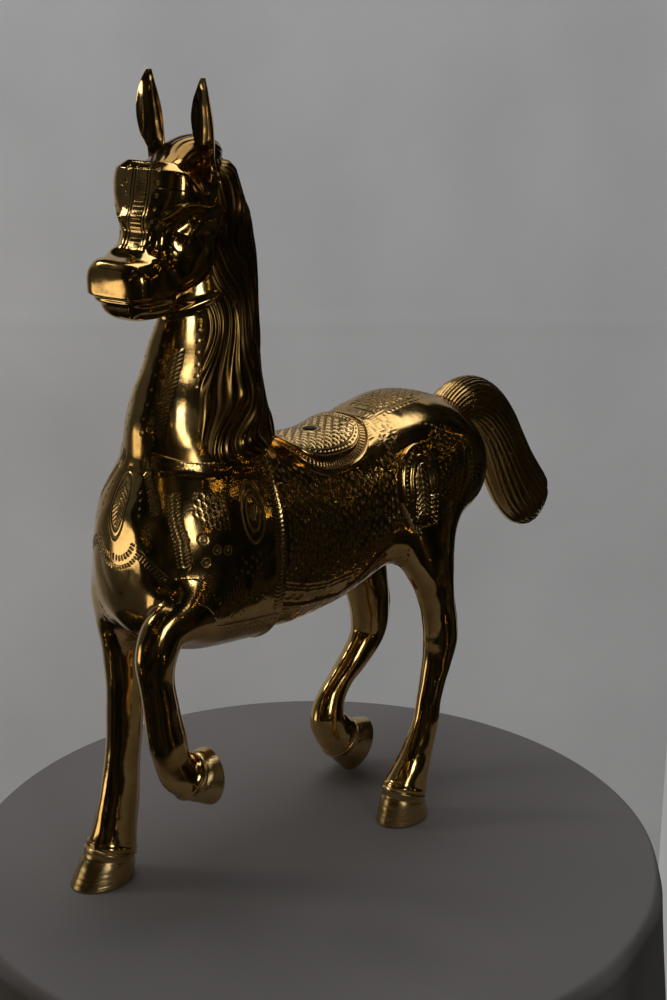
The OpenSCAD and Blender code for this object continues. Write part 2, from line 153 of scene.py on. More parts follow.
# all seven numbers: x, y, z, half width, half depth, exponent, widening of one side
headTable = [
    [0, -74, 564, 18, 17, 2.2, 0.00], [0, -73, 560, 31, 28, 2.6, -0.05], [0, -72, 552, 34, 33, 2.8, -0.10],
    [0, -73, 539, 34, 35, 2.8, -0.14], [0, -76, 524, 31, 36, 2.8, -0.12], [0, -82, 508, 26, 37, 2.6, -0.04],
    [0, -91, 495, 22, 33, 2.5, 0.04], [0, -103, 485, 22, 26, 2.6, 0.00], [0, -114, 477, 26, 25, 3.2, 0.00],
    [0, -120, 468, 26, 23, 3.2, 0.00], [0, -122, 460, 17, 15, 2.4, 0.00]]

foreRightTable = limbRows(3, 2.2, 2.1, [
    [-36, -72, 262, 18, 30], [-42, -84, 238, 24, 36], [-45, -89, 212, 22, 28], [-47, -92, 186, 17, 20],
    [-47, -95, 152, 14, 15.5], [-47, -98, 118, 13.5, 14.5], [-47, -101, 92, 13, 14.5],
    [-47, -105, 66, 14, 16.5], [-47, -110, 42, 15.5, 18], [-47, -115, 25, 18, 21]])

foreLeftTable = limbRows(3, 2.2, 2.1, [
    [36, -62, 250, 17, 24], [42, -86, 248, 18, 24], [47, -110, 246, 16, 19], [47, -127, 238, 14.5, 17],
    [47, -135, 221, 14, 15.5], [47, -135, 200, 12, 13], [47, -132, 178, 12, 13.5],
    [47, -128, 156, 13, 14.5], [47, -124, 138, 12.5, 13.5], [47, -118, 125, 14, 15],
    [47, -110, 119, 16, 17.5]])

hindLeftTable = limbRows(3, 2.2, 2.1, [
    [38, 136, 290, 16, 34], [44, 139, 262, 20, 34], [49, 143, 234, 18, 27], [50, 151, 206, 15, 19],
    [50, 158, 178, 13.5, 16], [50, 161, 152, 13.5, 16], [50, 156, 130, 11.5, 13], [50, 149, 104, 10, 11],
    [50, 144, 80, 10.5, 12], [49, 136, 57, 12, 14], [48, 128, 39, 14.5, 17], [47, 122, 25, 17, 20]])

hindRightTable = limbRows(3, 2.2, 2.1, [
    [-38, 136, 276, 17, 34], [-45, 146, 244, 20, 33], [-50, 160, 208, 18, 27], [-50, 171, 178, 17, 22],
    [-50, 177, 150, 16, 20], [-50, 175, 126, 14, 17], [-50, 159, 106, 12, 13], [-50, 142, 91, 11, 11.5],
    [-50, 130, 76, 12, 13], [-50, 125, 59, 15, 16], [-49, 130, 45, 16, 18], [-49, 138, 35.5, 17, 19]])

tailTable = limbRows(11, 2.0, 2.0, [
    [0, 200, 318, 11, 13], [0, 212, 328, 15, 17], [0, 228, 336, 17, 19], [0, 246, 337, 18, 20],
    [0, 263, 327, 19, 22], [0, 278, 308, 20, 24], [0, 290, 286, 20, 26], [0, 302, 264, 20, 28],
    [0, 316, 244, 20, 29], [0, 331, 228, 18, 27], [0, 343, 217, 9, 16]])

forelockTable = limbRows(7, 2.0, 2.0, [
    [0, -36, 555, 8, 7], [0, -44, 561, 17, 12], [0, -54, 563, 21, 13], [0, -66, 561, 21, 12],
    [0, -80, 557, 18, 9], [0, -92, 555, 12, 6], [0, -98, 553, 5, 3]])

# right ear: x, y, z of the middle, half width, half thickness, how far its edges curl forward
earTable = [
    [-19, -62, 548, 8, 5, 0], [-20, -63, 556, 9, 5, 0], [-22, -64, 566, 7, 4, 1], [-24, -65, 578, 9.5, 3, 3],
    [-25, -66, 592, 10, 2.6, 4], [-26, -67, 604, 8, 2.2, 3], [-27, -67, 613, 5, 1.8, 1.5],
    [-27, -67, 620, 2, 1.2, 0]]

headTurn = math.radians(10)         # to the horse's left
headPivot = np.array([0.0, -42.0, 0.0])


def turnedBy(p, angle):
    # p turned about the head's upright line
    c, s = math.cos(angle), math.sin(angle)
    q = p - headPivot
    return headPivot + np.stack([q[..., 0] * c - q[..., 1] * s, q[..., 0] * s + q[..., 1] * c, q[..., 2]], -1)


def trunkPoint(t, a, off):
    # upright section at the station t: a rounded oblong, its low half a little wider, drawn in by off;
    # before the first and past the last station the end ring shrinks to a shallow dome
    last = len(trunkTable) - 1
    row = stationRow(trunkTable, np.clip(t, 0, last))
    over = np.maximum(-t, 0) + np.maximum(t - last, 0)
    shrink = np.clip(1 - over, 0, 1)
    dome = 2.0 * (1 - shrink**2) * np.where(t < 0, -1, 1)
    m = edgeOf(a, row[..., 4])
    zMid, b = (row[..., 1] + row[..., 2]) / 2, (row[..., 1] - row[..., 2]) / 2 - off
    w = (row[..., 3] - off) * (1 + row[..., 5] * m * np.sin(a))
    return np.stack([w * m * np.cos(a) * shrink, row[..., 0] + dome, zMid - b * m * np.sin(a) * shrink], -1)


def limbFrame(table, t):
    # middle of the path, its direction and the fore-and-aft axis square to it, all in the plane of the leg
    last = len(table) - 1
    row = stationRow(table, t)
    d = stationRow(table, np.minimum(t + 0.02, last)) - stationRow(table, np.maximum(t - 0.02, 0))
    length = np.hypot(d[..., 1], d[..., 2])
    dy, dz = d[..., 1] / length, d[..., 2] / length
    zero = np.zeros_like(dy)
    return row, np.stack([zero, dy, dz], -1), np.stack([zero, dz, -dy], -1)


def limbPoint(table, t, a, off, bulge=3.0):
    # section square to the path; past either end the last ring shrinks to a dome of the given bulge
    last = len(table) - 1
    inside = np.clip(t, 0, last)
    row, along, fore = limbFrame(table, inside)
    over = np.maximum(-t, 0) + np.maximum(t - last, 0)
    shrink = np.clip(1 - over, 0, 1)
    dome = bulge * (1 - shrink**2) * np.where(t < 0, -1, 1)
    m = edgeOf(a, row[..., 5])
    w = (row[..., 3] - off) * m * np.cos(a) * (1 - row[..., 6] * m * np.sin(a)) * shrink
    g = (row[..., 4] - off) * m * np.sin(a) * shrink
    p = row[..., :3] + fore * g[..., None] + along * dome[..., None]
    p[..., 0] += w
    return p


def sectionDistance(u, v, w, g, n, k):
    # how far a point of a section is outside its rounded oblong, measured along the line to the middle
    a = np.arctan2(v / g, u / w)
    wide = w * (1 - k * edgeOf(a, n) * np.sin(a))
    a = np.arctan2(v / g, u / wide)
    m = edgeOf(a, n)
    return np.hypot(u, v) - m * np.hypot(wide * np.cos(a), g * np.sin(a))


denseTrunk = np.linspace(0, len(trunkTable) - 1, 400)
denseTrunkY = stationRow(trunkTable, denseTrunk)[:, 0]


def trunkField(p):
    # distance outside the trunk's skin, about right near it
    t = np.interp(p[..., 1], denseTrunkY, denseTrunk)
    row = stationRow(trunkTable, t)
    past = np.maximum(trunkTable[0][0] - p[..., 1], 0) + np.maximum(p[..., 1] - trunkTable[-1][0], 0)
    v = (row[..., 1] + row[..., 2]) / 2 - p[..., 2]
    f = sectionDistance(p[..., 0], v, row[..., 3], (row[..., 1] - row[..., 2]) / 2, row[..., 4], -row[..., 5])
    return np.where(past > 0, np.hypot(np.maximum(f, 0), past), f)


def limbField(table, p, count=90):
    # distance outside a limb's skin: nearest place on the path, then the section there
    last = len(table) - 1
    ts = np.linspace(0, last, count)
    row, along, fore = limbFrame(table, ts)
    flat = p.reshape(-1, 3)
    nearest = np.empty(len(flat), int)
    for start in range(0, len(flat), 20000):  # in blocks, to hold memory down
        block = flat[start:start + 20000]
        nearest[start:start + 20000] = ((block[:, None, 1:] - row[None, :, 1:3])**2).sum(-1).argmin(1)
    middle, d, f, r = row[nearest, :3], along[nearest], fore[nearest], row[nearest]
    q = flat - middle
    slide = (q * d).sum(-1)
    end = (nearest == 0) & (slide < 0) | (nearest == count - 1) & (slide > 0)
    dist = sectionDistance(q[:, 0], (q * f).sum(-1), r[:, 3], r[:, 4], r[:, 5], r[:, 6])
    dist = np.where(end, np.hypot(np.maximum(dist, 0), slide), dist)
    return dist.reshape(p.shape[:-1])


def swollen(base, outward, fields, k, most):
    # moves each point out along its ray until it lies on the soft union with the neighbouring fields;
    # points well inside a neighbour stay where they are, since that neighbour hides them
    near = [f(base) for f in fields]
    limit = most * smoothStep(np.min(near, 0), -7.0, -1.0)
    off = np.zeros(base.shape[:-1])
    for step in range(9):
        p = base + outward * off[..., None]
        total = off.copy()
        for f in fields:
            total = softUnion(total, f(p), k)
        off = np.clip(off - 0.85 * total, 0, limit)
    return off


# Chased patterns: each gives 1 at the bottom of a cut and 0 on untouched skin. Lengths are in mm.

def stroke(d, width):
    # one chisel line, d away from its middle
    return 1 - smoothStep(np.abs(d), 0.15 * width, 0.55 * width)


def alongPath(u, v, path):
    # travel along a polyline at its nearest place, the signed distance from it, and its whole length
    path = np.asarray(path, float)
    best, along, side, total = np.full(u.shape, 1e9), np.zeros(u.shape), np.zeros(u.shape), 0.0
    for (ax, ay), (bx, by) in zip(path[:-1], path[1:]):
        dx, dy = bx - ax, by - ay
        length = math.hypot(dx, dy)
        s = np.clip(((u - ax) * dx + (v - ay) * dy) / length, 0, length)
        ex, ey = u - ax - s * dx / length, v - ay - s * dy / length
        d = np.hypot(ex, ey)
        near = d < best
        best, along = np.where(near, d, best), np.where(near, total + s, along)
        side = np.where(near, np.sign(dx * ey - dy * ex) * d, side)
        total += length
    return along, side, total


def hatch(u, v, path, half, pitch, slant=0.0, herring=False):
    # short slanting strokes in a band of the given half width along a path
    along, side, total = alongPath(u, v, path)
    lean = slant * (np.abs(side) if herring else side)
    within = (np.abs(side) < half) & (along > 0.1) & (along < total - 0.1)
    return stroke(((along + lean) / pitch % 1 - 0.5) * pitch, 0.55 * pitch) * within


def dots(u, v, path, pitch, radius):
    # punched dots evenly spaced along a path
    along, side, total = alongPath(u, v, path)
    return 1 - smoothStep(np.hypot((along / pitch % 1 - 0.5) * pitch, side), 0.35 * radius, radius)


def line(u, v, path, width):
    # one chisel line along a path
    return stroke(alongPath(u, v, path)[1], width)


def ovals(u, v, centre, half, count, width=1.5):
    # rings one inside another, and a dot in the middle
    q = np.hypot((u - centre[0]) / half[0], (v - centre[1]) / half[1])
    gap = min(half) / count
    rings = stroke((q * count % 1 - 0.5) * gap, width) * (q < 1.02)
    return np.maximum(rings, 1 - smoothStep(q, 0.06, 0.14))


def fan(u, v, centre, inner, outer, start, end, step):
    # strokes pointing away from a centre between two radii and two angles in degrees
    angle = np.degrees(np.arctan2(v - centre[1], u - centre[0])) % 360
    r = np.hypot(u - centre[0], v - centre[1])
    within = (angle > start) & (angle < end) & (r > inner) & (r < outer)
    return stroke((angle / step % 1 - 0.5) * np.radians(step) * r, 0.45 * math.radians(step) * inner) * within


def scales(u, v, pitch, width=1.2):
    # overlapping round scales in staggered rows, each with a punched dot
    row = np.floor(v / (pitch * 0.6))
    du = ((u / pitch + 0.5 * (row % 2)) % 1 - 0.5) * pitch
    dv = v - row * pitch * 0.6 + pitch * 0.1
    dot = 1 - smoothStep(np.hypot(du, dv - 1.6), 0.3, 1.1)
    return np.maximum(stroke(np.hypot(du, dv) - pitch * 0.48, width), dot)


def flecks(u, v, across, down, length, width, lean, seed):
    # separate upright dashes in staggered columns, each a little out of place
    column = np.floor(u / across)
    shift = v / down + 0.5 * (column % 2)
    row = np.floor(shift)
    shake = np.sin(column * 12.9898 + row * 78.233 + seed) * 43758.5453
    shake -= np.floor(shake)
    length, width = length * (0.7 + 0.6 * (shake * 13 % 1)), width * (0.8 + 0.4 * (shake * 29 % 1))
    du = (u / across - column - 0.5) * across + (shake - 0.5) * 0.45 * across
    dv = (shift - row - 0.5) * down + (shake * 7 % 1 - 0.5) * 0.4 * down
    du = du + lean * dv
    return 1 - smoothStep(np.hypot(du / width, dv / length), 0.35, 0.62)


def inside(u, v, polygon, soft=1.5):
    # 1 inside a polygon, fading at its border
    corners = np.asarray(list(polygon) + [polygon[0]], float)
    odd = np.zeros(u.shape, bool)
    for (ax, ay), (bx, by) in zip(corners[:-1], corners[1:]):
        if ay != by:
            odd ^= ((ay > v) != (by > v)) & (u < (bx - ax) * (v - ay) / (by - ay) + ax)
    edge = np.abs(alongPath(u, v, corners)[1])
    return odd * smoothStep(edge, 0, soft)


def deepest(*cuts):
    # the deepest of several patterns at each point
    total = cuts[0]
    for cut in cuts[1:]:
        total = np.maximum(total, cut)
    return total


def chased(skin, cutsOf, depth):
    # presses the pattern into a surface along its own normals
    n = gridNormals(skin)
    cut = np.clip(cutsOf(skin, n), 0, 1.5)
    return skin - n * (depth * cut)[..., None], cut


def toFrame(p):
    # drawn millimetres to metres in the model's own frame
    return (p + drawnShift) * stretch + placeShift


def addPiece(name, grid, material, nodes, cut=None):
    # rings of points, joined round and closed by a point at each end, with cut kept for the material
    rows, cols = grid.shape[:2]
    points = toFrame(np.concatenate([grid.reshape(-1, 3), grid[0].mean(0)[None], grid[-1].mean(0)[None]]))
    inset = 1e-4  # metres; no point goes outside the model's own box
    points = np.clip(points, np.array(cadLow) + inset, np.array(cadHigh) - inset)
    i, j = np.meshgrid(np.arange(rows - 1), np.arange(cols), indexing="ij")
    a, b = i * cols + j, i * cols + (j + 1) % cols
    quads = np.stack([a, b, b + cols, a + cols], -1).reshape(-1, 4)
    j = np.arange(cols)
    top = np.stack([np.full(cols, rows * cols), (j + 1) % cols, j], -1)
    low = (rows - 1) * cols
    bottom = np.stack([np.full(cols, rows * cols + 1), low + j, low + (j + 1) % cols], -1)
    centre = points.mean(0)
    q = points[quads] - centre
    volume = (np.cross(q[:, 0], q[:, 1]) * q[:, 2]).sum() + (np.cross(q[:, 0], q[:, 2]) * q[:, 3]).sum()
    if volume < 0:
        quads, top, bottom = quads[:, ::-1], top[:, ::-1], bottom[:, ::-1]
    mesh = bpy.data.meshes.new(name)
    loops = np.concatenate([quads.ravel(), top.ravel(), bottom.ravel()])
    sizes = np.concatenate([np.full(len(quads), 4), np.full(2 * cols, 3)])
    mesh.vertices.add(len(points))
    mesh.vertices.foreach_set("co", points.astype(np.float32).ravel())
    mesh.loops.add(len(loops))
    mesh.loops.foreach_set("vertex_index", loops.astype(np.int32))
    mesh.polygons.add(len(sizes))
    mesh.polygons.foreach_set("loop_start", np.concatenate([[0], np.cumsum(sizes)[:-1]]).astype(np.int32))
    mesh.update(calc_edges=True)
    mesh.polygons.foreach_set("use_smooth", np.ones(len(sizes), bool))
    if cut is not None:
        full = np.concatenate([cut.ravel(), [cut[0].mean(), cut[-1].mean()]])
        mesh.attributes.new("cut", "FLOAT", "POINT").data.foreach_set("value", full.astype(np.float32))
    mesh.materials.append(material)
    piece = addObject(name, mesh)
    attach(piece, "root")
    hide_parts(*nodes)
    print(name, len(points), "points")


def evenStations(pointOf, start, end, count):
    # stations from start to end spaced evenly along the surface, by the mean travel of eight of its points
    a = np.linspace(0, 2 * math.pi, 9)[:-1]
    t = np.linspace(start, end, 900)
    p = pointOf(t[:, None] + 0 * a, a[None] + 0 * t[:, None])
    travel = np.concatenate([[0], np.cumsum(np.linalg.norm(np.diff(p, axis=0), axis=-1).mean(-1))])
    return np.interp(np.linspace(0, travel[-1], count), travel, t)


def evenAngles(pointOf, t, count):
    # angles round the section at t spaced evenly along its edge
    a = np.linspace(0, 2 * math.pi, 1441)
    p = pointOf(np.full_like(a, t), a)
    travel = np.concatenate([[0], np.cumsum(np.linalg.norm(np.diff(p, axis=0), axis=-1))])
    return np.interp(np.linspace(0, travel[-1], count + 1)[:-1], travel, a)


def gridNormals(grid):
    # square to the surface at each grid point, from the neighbours on either side
    down = np.gradient(grid, axis=0)
    across = np.roll(grid, -1, 1) - np.roll(grid, 1, 1)
    n = np.cross(across, down)
    n /= np.linalg.norm(n, axis=-1, keepdims=True) + 1e-9
    outward = grid - grid.mean(1, keepdims=True)
    return n * np.sign((n * outward).sum(-1).mean() + 1e-12)


def hexColour(text):
    # sRGB hex to linear light, with full cover as the fourth number
    parts = [int(text[k:k + 2], 16) / 255 for k in (1, 3, 5)]
    return [c / 12.92 if c <= 0.04045 else ((c + 0.055) / 1.055)**2.4 for c in parts] + [1.0]


def addNode(tree, kind, settings=None, **links):
    # a node, its settings (a name or an input's name or number), and what feeds its inputs
    node = tree.nodes.new(kind)
    for key, value in (settings or {}).items():
        if isinstance(key, int) or key in node.inputs and not hasattr(node, str(key)):
            node.inputs[key].default_value = value
        else:
            setattr(node, key, value)
    for key, source in links.items():
        slotKey = int(key[1:]) if key[0] == "i" and key[1:].isdigit() else key.replace("_", " ")
        tree.links.new(source, node.inputs[slotKey])
    return node


def fillRamp(node, stops):
    # stops: position and hex colour, or position and grey level
    ramp = node.color_ramp
    while len(ramp.elements) < len(stops):
        ramp.elements.new(0.5)
    for element, (place, value) in zip(ramp.elements, stops):
        element.position = place
        element.color = hexColour(value) if isinstance(value, str) else (value, value, value, 1)


def newMaterial(name):
    # a material that starts as one plain shader, its tree and that shader
    material = bpy.data.materials.new(name)
    material.use_nodes = True
    return material, material.node_tree, material.node_tree.nodes["Principled BSDF"]


def mixTones(tree, factor, first, second):
    # the first colour, turning into the second as the factor goes from 0 to 1
    mix = addNode(tree, "ShaderNodeMix", {"data_type": "RGBA"})
    for socket, value in ((mix.inputs["Factor"], factor), (mix.inputs[6], first), (mix.inputs[7], second)):
        if isinstance(value, list):
            socket.default_value = value
        else:
            tree.links.new(value, socket)
    return mix.outputs[2]


brassLook = {
    "light": "#DDB878",     # freshly buffed
    "deep": "#C19A58",      # handled and slightly tarnished
    "tarnish": "#8A6636",   # brown film in the hollows
    "cut": "#2E2212",       # dirt and wax left in the chased lines
    "roughness": 0.07,
    "dirt": 0.62,           # how much of the skin's colour the dirt takes at the bottom of a cut
    "patch": 38.0,          # millimetres across a patch of deeper tone
    "film": 9.0,            # millimetres across a patch of brown film
    "grain": 0.9,           # millimetres between the polish's fine scratches
    "ripple": 16.0,         # millimetres between the soft waves that hand filing leaves
    "ripplePush": 0.10,
}


def makeBrass(name, look, brushed=False):
    # cast brass, filed and buffed: a warm mirror that waves, goes brown in its hollows and dark in its cuts
    material, tree, shader = newMaterial(name)
    shader.inputs["Metallic"].default_value = 1.0
    where = addNode(tree, "ShaderNodeTexCoord").outputs["Object"]
    cut = addNode(tree, "ShaderNodeAttribute", {"attribute_name": "cut"}).outputs["Fac"]
    patches = addNode(tree, "ShaderNodeTexNoise", {"Scale": 1000 / look["patch"], "Detail": 4.0,
                                                   "Roughness": 0.55}, Vector=where).outputs["Fac"]
    tone = addNode(tree, "ShaderNodeValToRGB", Fac=patches)
    fillRamp(tone, [(0.35, look["light"]), (0.66, look["deep"])])
    worn = addNode(tree, "ShaderNodeTexNoise", {"Scale": 1000 / look["film"], "Detail": 3.0}, Vector=where)
    film = addNode(tree, "ShaderNodeMapRange", {"From Min": 0.56, "From Max": 0.78, "To Min": 0.0,
                                                "To Max": 0.45},
                   Value=worn.outputs["Fac"]).outputs["Result"]
    filmed = mixTones(tree, film, tone.outputs["Color"], hexColour(look["tarnish"]))
    dirt = addNode(tree, "ShaderNodeMath", {"operation": "MULTIPLY", 1: look["dirt"], "use_clamp": True},
                   i0=cut)
    tree.links.new(mixTones(tree, dirt.outputs[0], filmed, hexColour(look["cut"])),
                   shader.inputs["Base Color"])
    rough = addNode(tree, "ShaderNodeMapRange", {
        "From Min": 0.3, "From Max": 0.8, "To Min": look["roughness"], "To Max": look["roughness"] + 0.12},
        Value=patches).outputs["Result"]
    roughCut = addNode(tree, "ShaderNodeMath", {"operation": "MULTIPLY_ADD", 1: 0.35}, i0=cut, i2=rough)
    tree.links.new(roughCut.outputs[0], shader.inputs["Roughness"])
    ripple = addNode(tree, "ShaderNodeTexNoise", {"Scale": 1000 / look["ripple"], "Detail": 1.5},
                     Vector=where)
    grain = addNode(tree, "ShaderNodeTexNoise", {"Scale": 1000 / look["grain"], "Detail": 2.0}, Vector=where)
    waves = addNode(tree, "ShaderNodeBump", {"Strength": look["ripplePush"], "Distance": 0.004},
                    Height=ripple.outputs["Fac"])
    last = addNode(tree, "ShaderNodeBump", {"Strength": 0.06, "Distance": 0.0004},
                   Height=grain.outputs["Fac"], Normal=waves.outputs["Normal"])
    if brushed:  # a linishing belt's lines, run round the hoof
        drawn = addNode(tree, "ShaderNodeMapping", {"Scale": (60.0, 60.0, 1600.0)}, Vector=where)
        lines = addNode(tree, "ShaderNodeTexNoise", {"Scale": 1.0, "Detail": 3.0}, Vector=drawn.outputs[0])
        last = addNode(tree, "ShaderNodeBump", {"Strength": 0.35, "Distance": 0.0005},
                       Height=lines.outputs["Fac"], Normal=last.outputs["Normal"])
    tree.links.new(last.outputs["Normal"], shader.inputs["Normal"])
    return material


def makeSteel(name):
    # plain steel screw, oiled and dulled nearly black
    material, tree, shader = newMaterial(name)
    shader.inputs["Metallic"].default_value = 0.9
    where = addNode(tree, "ShaderNodeTexCoord").outputs["Object"]
    spots = addNode(tree, "ShaderNodeTexNoise", {"Scale": 1000 / 1.5, "Detail": 3.0},
                    Vector=where).outputs["Fac"]
    tone = addNode(tree, "ShaderNodeValToRGB", Fac=spots)
    fillRamp(tone, [(0.3, "#1E1B1A"), (0.7, "#3A3530")])
    tree.links.new(tone.outputs["Color"], shader.inputs["Base Color"])
    rough = addNode(tree, "ShaderNodeMapRange", {"To Min": 0.35, "To Max": 0.6},
                    Value=spots).outputs["Result"]
    tree.links.new(rough, shader.inputs["Roughness"])
    return material


polishedBrass = makeBrass("buffedCastBrass", brassLook)
chasedBrass = makeBrass("chasedCastBrass", dict(brassLook, roughness=0.09))
# a darker copy of the brass for the mane and forelock: its darker tones are painted shade, for the dark room
# that the mane mirrors
shadedHairBrass = makeBrass("groovedShadedBrass", dict(brassLook, roughness=0.12, light="#9C7A42", deep="#6C5128"))
hoofBrass = makeBrass("linishedBrass", dict(brassLook, roughness=0.18, light="#DDBE86", deep="#C0A068"),
                      brushed=True)
dulledSteel = makeSteel("dulledSteel")
print("materials made")


bodyLook = {
    "seamProud": 4.2,      # how far the front casting swells over the barrel at the seam, mm
    "seamRound": 3.8,      # depth of the quarter round at its edge, mm
    "seamBead": 1.0,       # height of the bead beside that edge, mm
    "seamGroove": 0.6,     # depth of the groove beside the bead, mm
    "barrelIn": 1.9,       # how far the barrel draws in behind the seam, mm
    "barrelRough": 0.22,   # unevenness of the barrel between its dashes, mm
    "keel": 1.5,           # height of the bead along the edge of the belly, mm
    "collar": 1.6,         # depth of the crease where the neck was joined, mm
    "filing": 0.5,         # unevenness left by filing, mm
    "blend": 20.0,         # width of the soft join between trunk and legs, mm
    "cutDepth": 0.55,      # depth of the chased lines, mm
    "frontGrid": (190, 510),
    "rearGrid": (250, 395),
}

foreNeighbours = [lambda p: limbField(foreLeftTable, p), lambda p: limbField(foreRightTable, p),
                  lambda p: limbField(neckTable, p)]
hindNeighbours = [lambda p: limbField(hindLeftTable, p), lambda p: limbField(hindRightTable, p),
                  lambda p: limbField(tailTable, p) + 4]


rearCutTone = 0.55  # the barrel's cuts are worn, so they hold less dirt


def outwardOf(skin):
    # away from the middle of each ring
    outward = skin - skin.mean(1, keepdims=True)
    return outward / (np.linalg.norm(outward, axis=-1, keepdims=True) + 1e-9)


def bodySkin(start, end, ringAt, rows, cols, neighbours):
    # a stretch of the trunk on an even grid, swollen into whatever grows out of it
    plain = lambda t, a: trunkPoint(t, a, 0.0)
    tt, aa = np.meshgrid(evenStations(plain, start, end, rows), evenAngles(plain, ringAt, cols),
                         indexing="ij")
    skin = plain(tt, aa)
    outward = outwardOf(skin)
    skin = skin + outward * swollen(skin, outward, neighbours, bodyLook["blend"], 16.0)[..., None]
    return tt, aa, skin, outward


def frontCuts(p, n):
    # chest: a leaf-shaped medallion, feather bands and ray fans
    # shoulder: rosettes, nested ovals, scales, dashes
    x, y, z = np.abs(p[..., 0]), p[..., 1], p[..., 2]
    front = smoothStep(-n[..., 1], 0.10, 0.30)
    side = smoothStep(np.abs(n[..., 0]), 0.30, 0.50)
    leaf = np.hypot(x / 9, (z - 322) / 24)
    featherA = [(8, 358), (17, 345), (28, 329), (33, 320)]
    featherB = [(37, 334), (43, 318), (49, 302), (52, 284)]
    chest = deepest(
        stroke((leaf - 1) * 9, 1.3), stroke((leaf - 0.74) * 9, 1.2),
        hatch(x, z, [(0, 304), (0, 340)], 6.5, 3.6, 1.0, True) * (leaf < 0.66),
        hatch(x, z, featherA, 2.8, 2.7, 0.9), line(x, z, featherA, 0.9),
        dots(x, z, [(15, 336), (19, 326), (21, 314)], 5.5, 1.1),
        hatch(x, z, featherB, 2.8, 2.7, 0.9), line(x, z, featherB, 0.9),
        dots(x, z, [(28, 312), (34, 302)], 5.5, 1.1),
        fan(x, z, (2, 302), 16, 20, 200, 350, 10), 0.8 * fan(x, z, (2, 302), 23, 26, 215, 345, 7),
        line(x, z, [(26, 294), (38, 284), (45, 277)], 1.2),
        hatch(x, z, [(25, 290), (37, 280), (44, 272)], 2.4, 2.8))
    shoulder = deepest(
        ovals(y, z, (-97, 302), (4.2, 4.2), 2, 1.2), ovals(y, z, (-88, 293), (4.2, 4.2), 2, 1.2),
        ovals(y, z, (-79, 291), (4.2, 4.2), 2, 1.2), ovals(y, z, (-97, 286), (4.2, 4.2), 2, 1.2),
        ovals(y, z, (-53, 313), (12, 26), 3, 1.3),
        scales(z, y, 6.4, 1.0) * inside(y, z, [(-98, 336), (-72, 332), (-72, 300), (-90, 306),
                                               (-102, 318)], 4) * 0.6,
        hatch(y, z, [(-31, 346), (-30, 232)], 4.0, 3.4, 0.7, True) * 0.6,
        flecks(y, z, 4.6, 4.6, 1.7, 1.1, 0.0, 9) * inside(
            y, z, [(-98, 264), (-42, 258), (-42, 244), (-92, 246)], 3),
        flecks(y, z, 5.0, 7.5, 2.6, 1.3, 0.2, 2) * inside(
            y, z, [(-70, 284), (-42, 284), (-42, 262), (-80, 268)], 2),
        line(y, z, [(-112, 243), (-80, 236), (-45, 229), (-24, 227)], 1.5),
        dots(y, z, [(-112, 238), (-80, 231), (-45, 224), (-24, 222)], 4.0, 1.1),
        hatch(y, z, [(-108, 229), (-80, 222), (-45, 216), (-26, 214)], 3.2, 3.2, 0.5))
    return deepest(front * chest, side * shoulder)


def frontBody():
    # the trunk before the seam, swelling towards a rounded, beaded edge; a crease round the neck's foot
    look = bodyLook
    tt, aa, skin, outward = bodySkin(-1.0, seamStation, 4.0, *look["frontGrid"], foreNeighbours)
    grow = look["seamProud"] * np.maximum(0, (tt - 2) / (seamStation - 2))**2
    fromSeam = np.clip(stationRow(trunkTable, seamStation)[0] - skin[..., 1], 0, None)
    grow -= look["seamRound"] * (1 - np.sqrt(1 - (1 - np.clip(fromSeam / 3.2, 0, 1))**2))
    grow += look["seamBead"] * np.exp(-((fromSeam - 3.6) / 1.4)**2)
    grow -= look["seamGroove"] * np.exp(-((fromSeam - 8.0) / 1.6)**2)
    collar = look["collar"] * np.exp(-((limbField(neckTable, skin) - 3.0) / 1.6)**2)
    skin = skin + outward * (grow - collar)[..., None]
    skin = skin + outward * (look["filing"] * noiseField(skin, 34, 21))[..., None]
    skin, cut = chased(skin, frontCuts, look["cutDepth"])
    addPiece("frontBody", skin, chasedBrass, ["front_body"], cut)


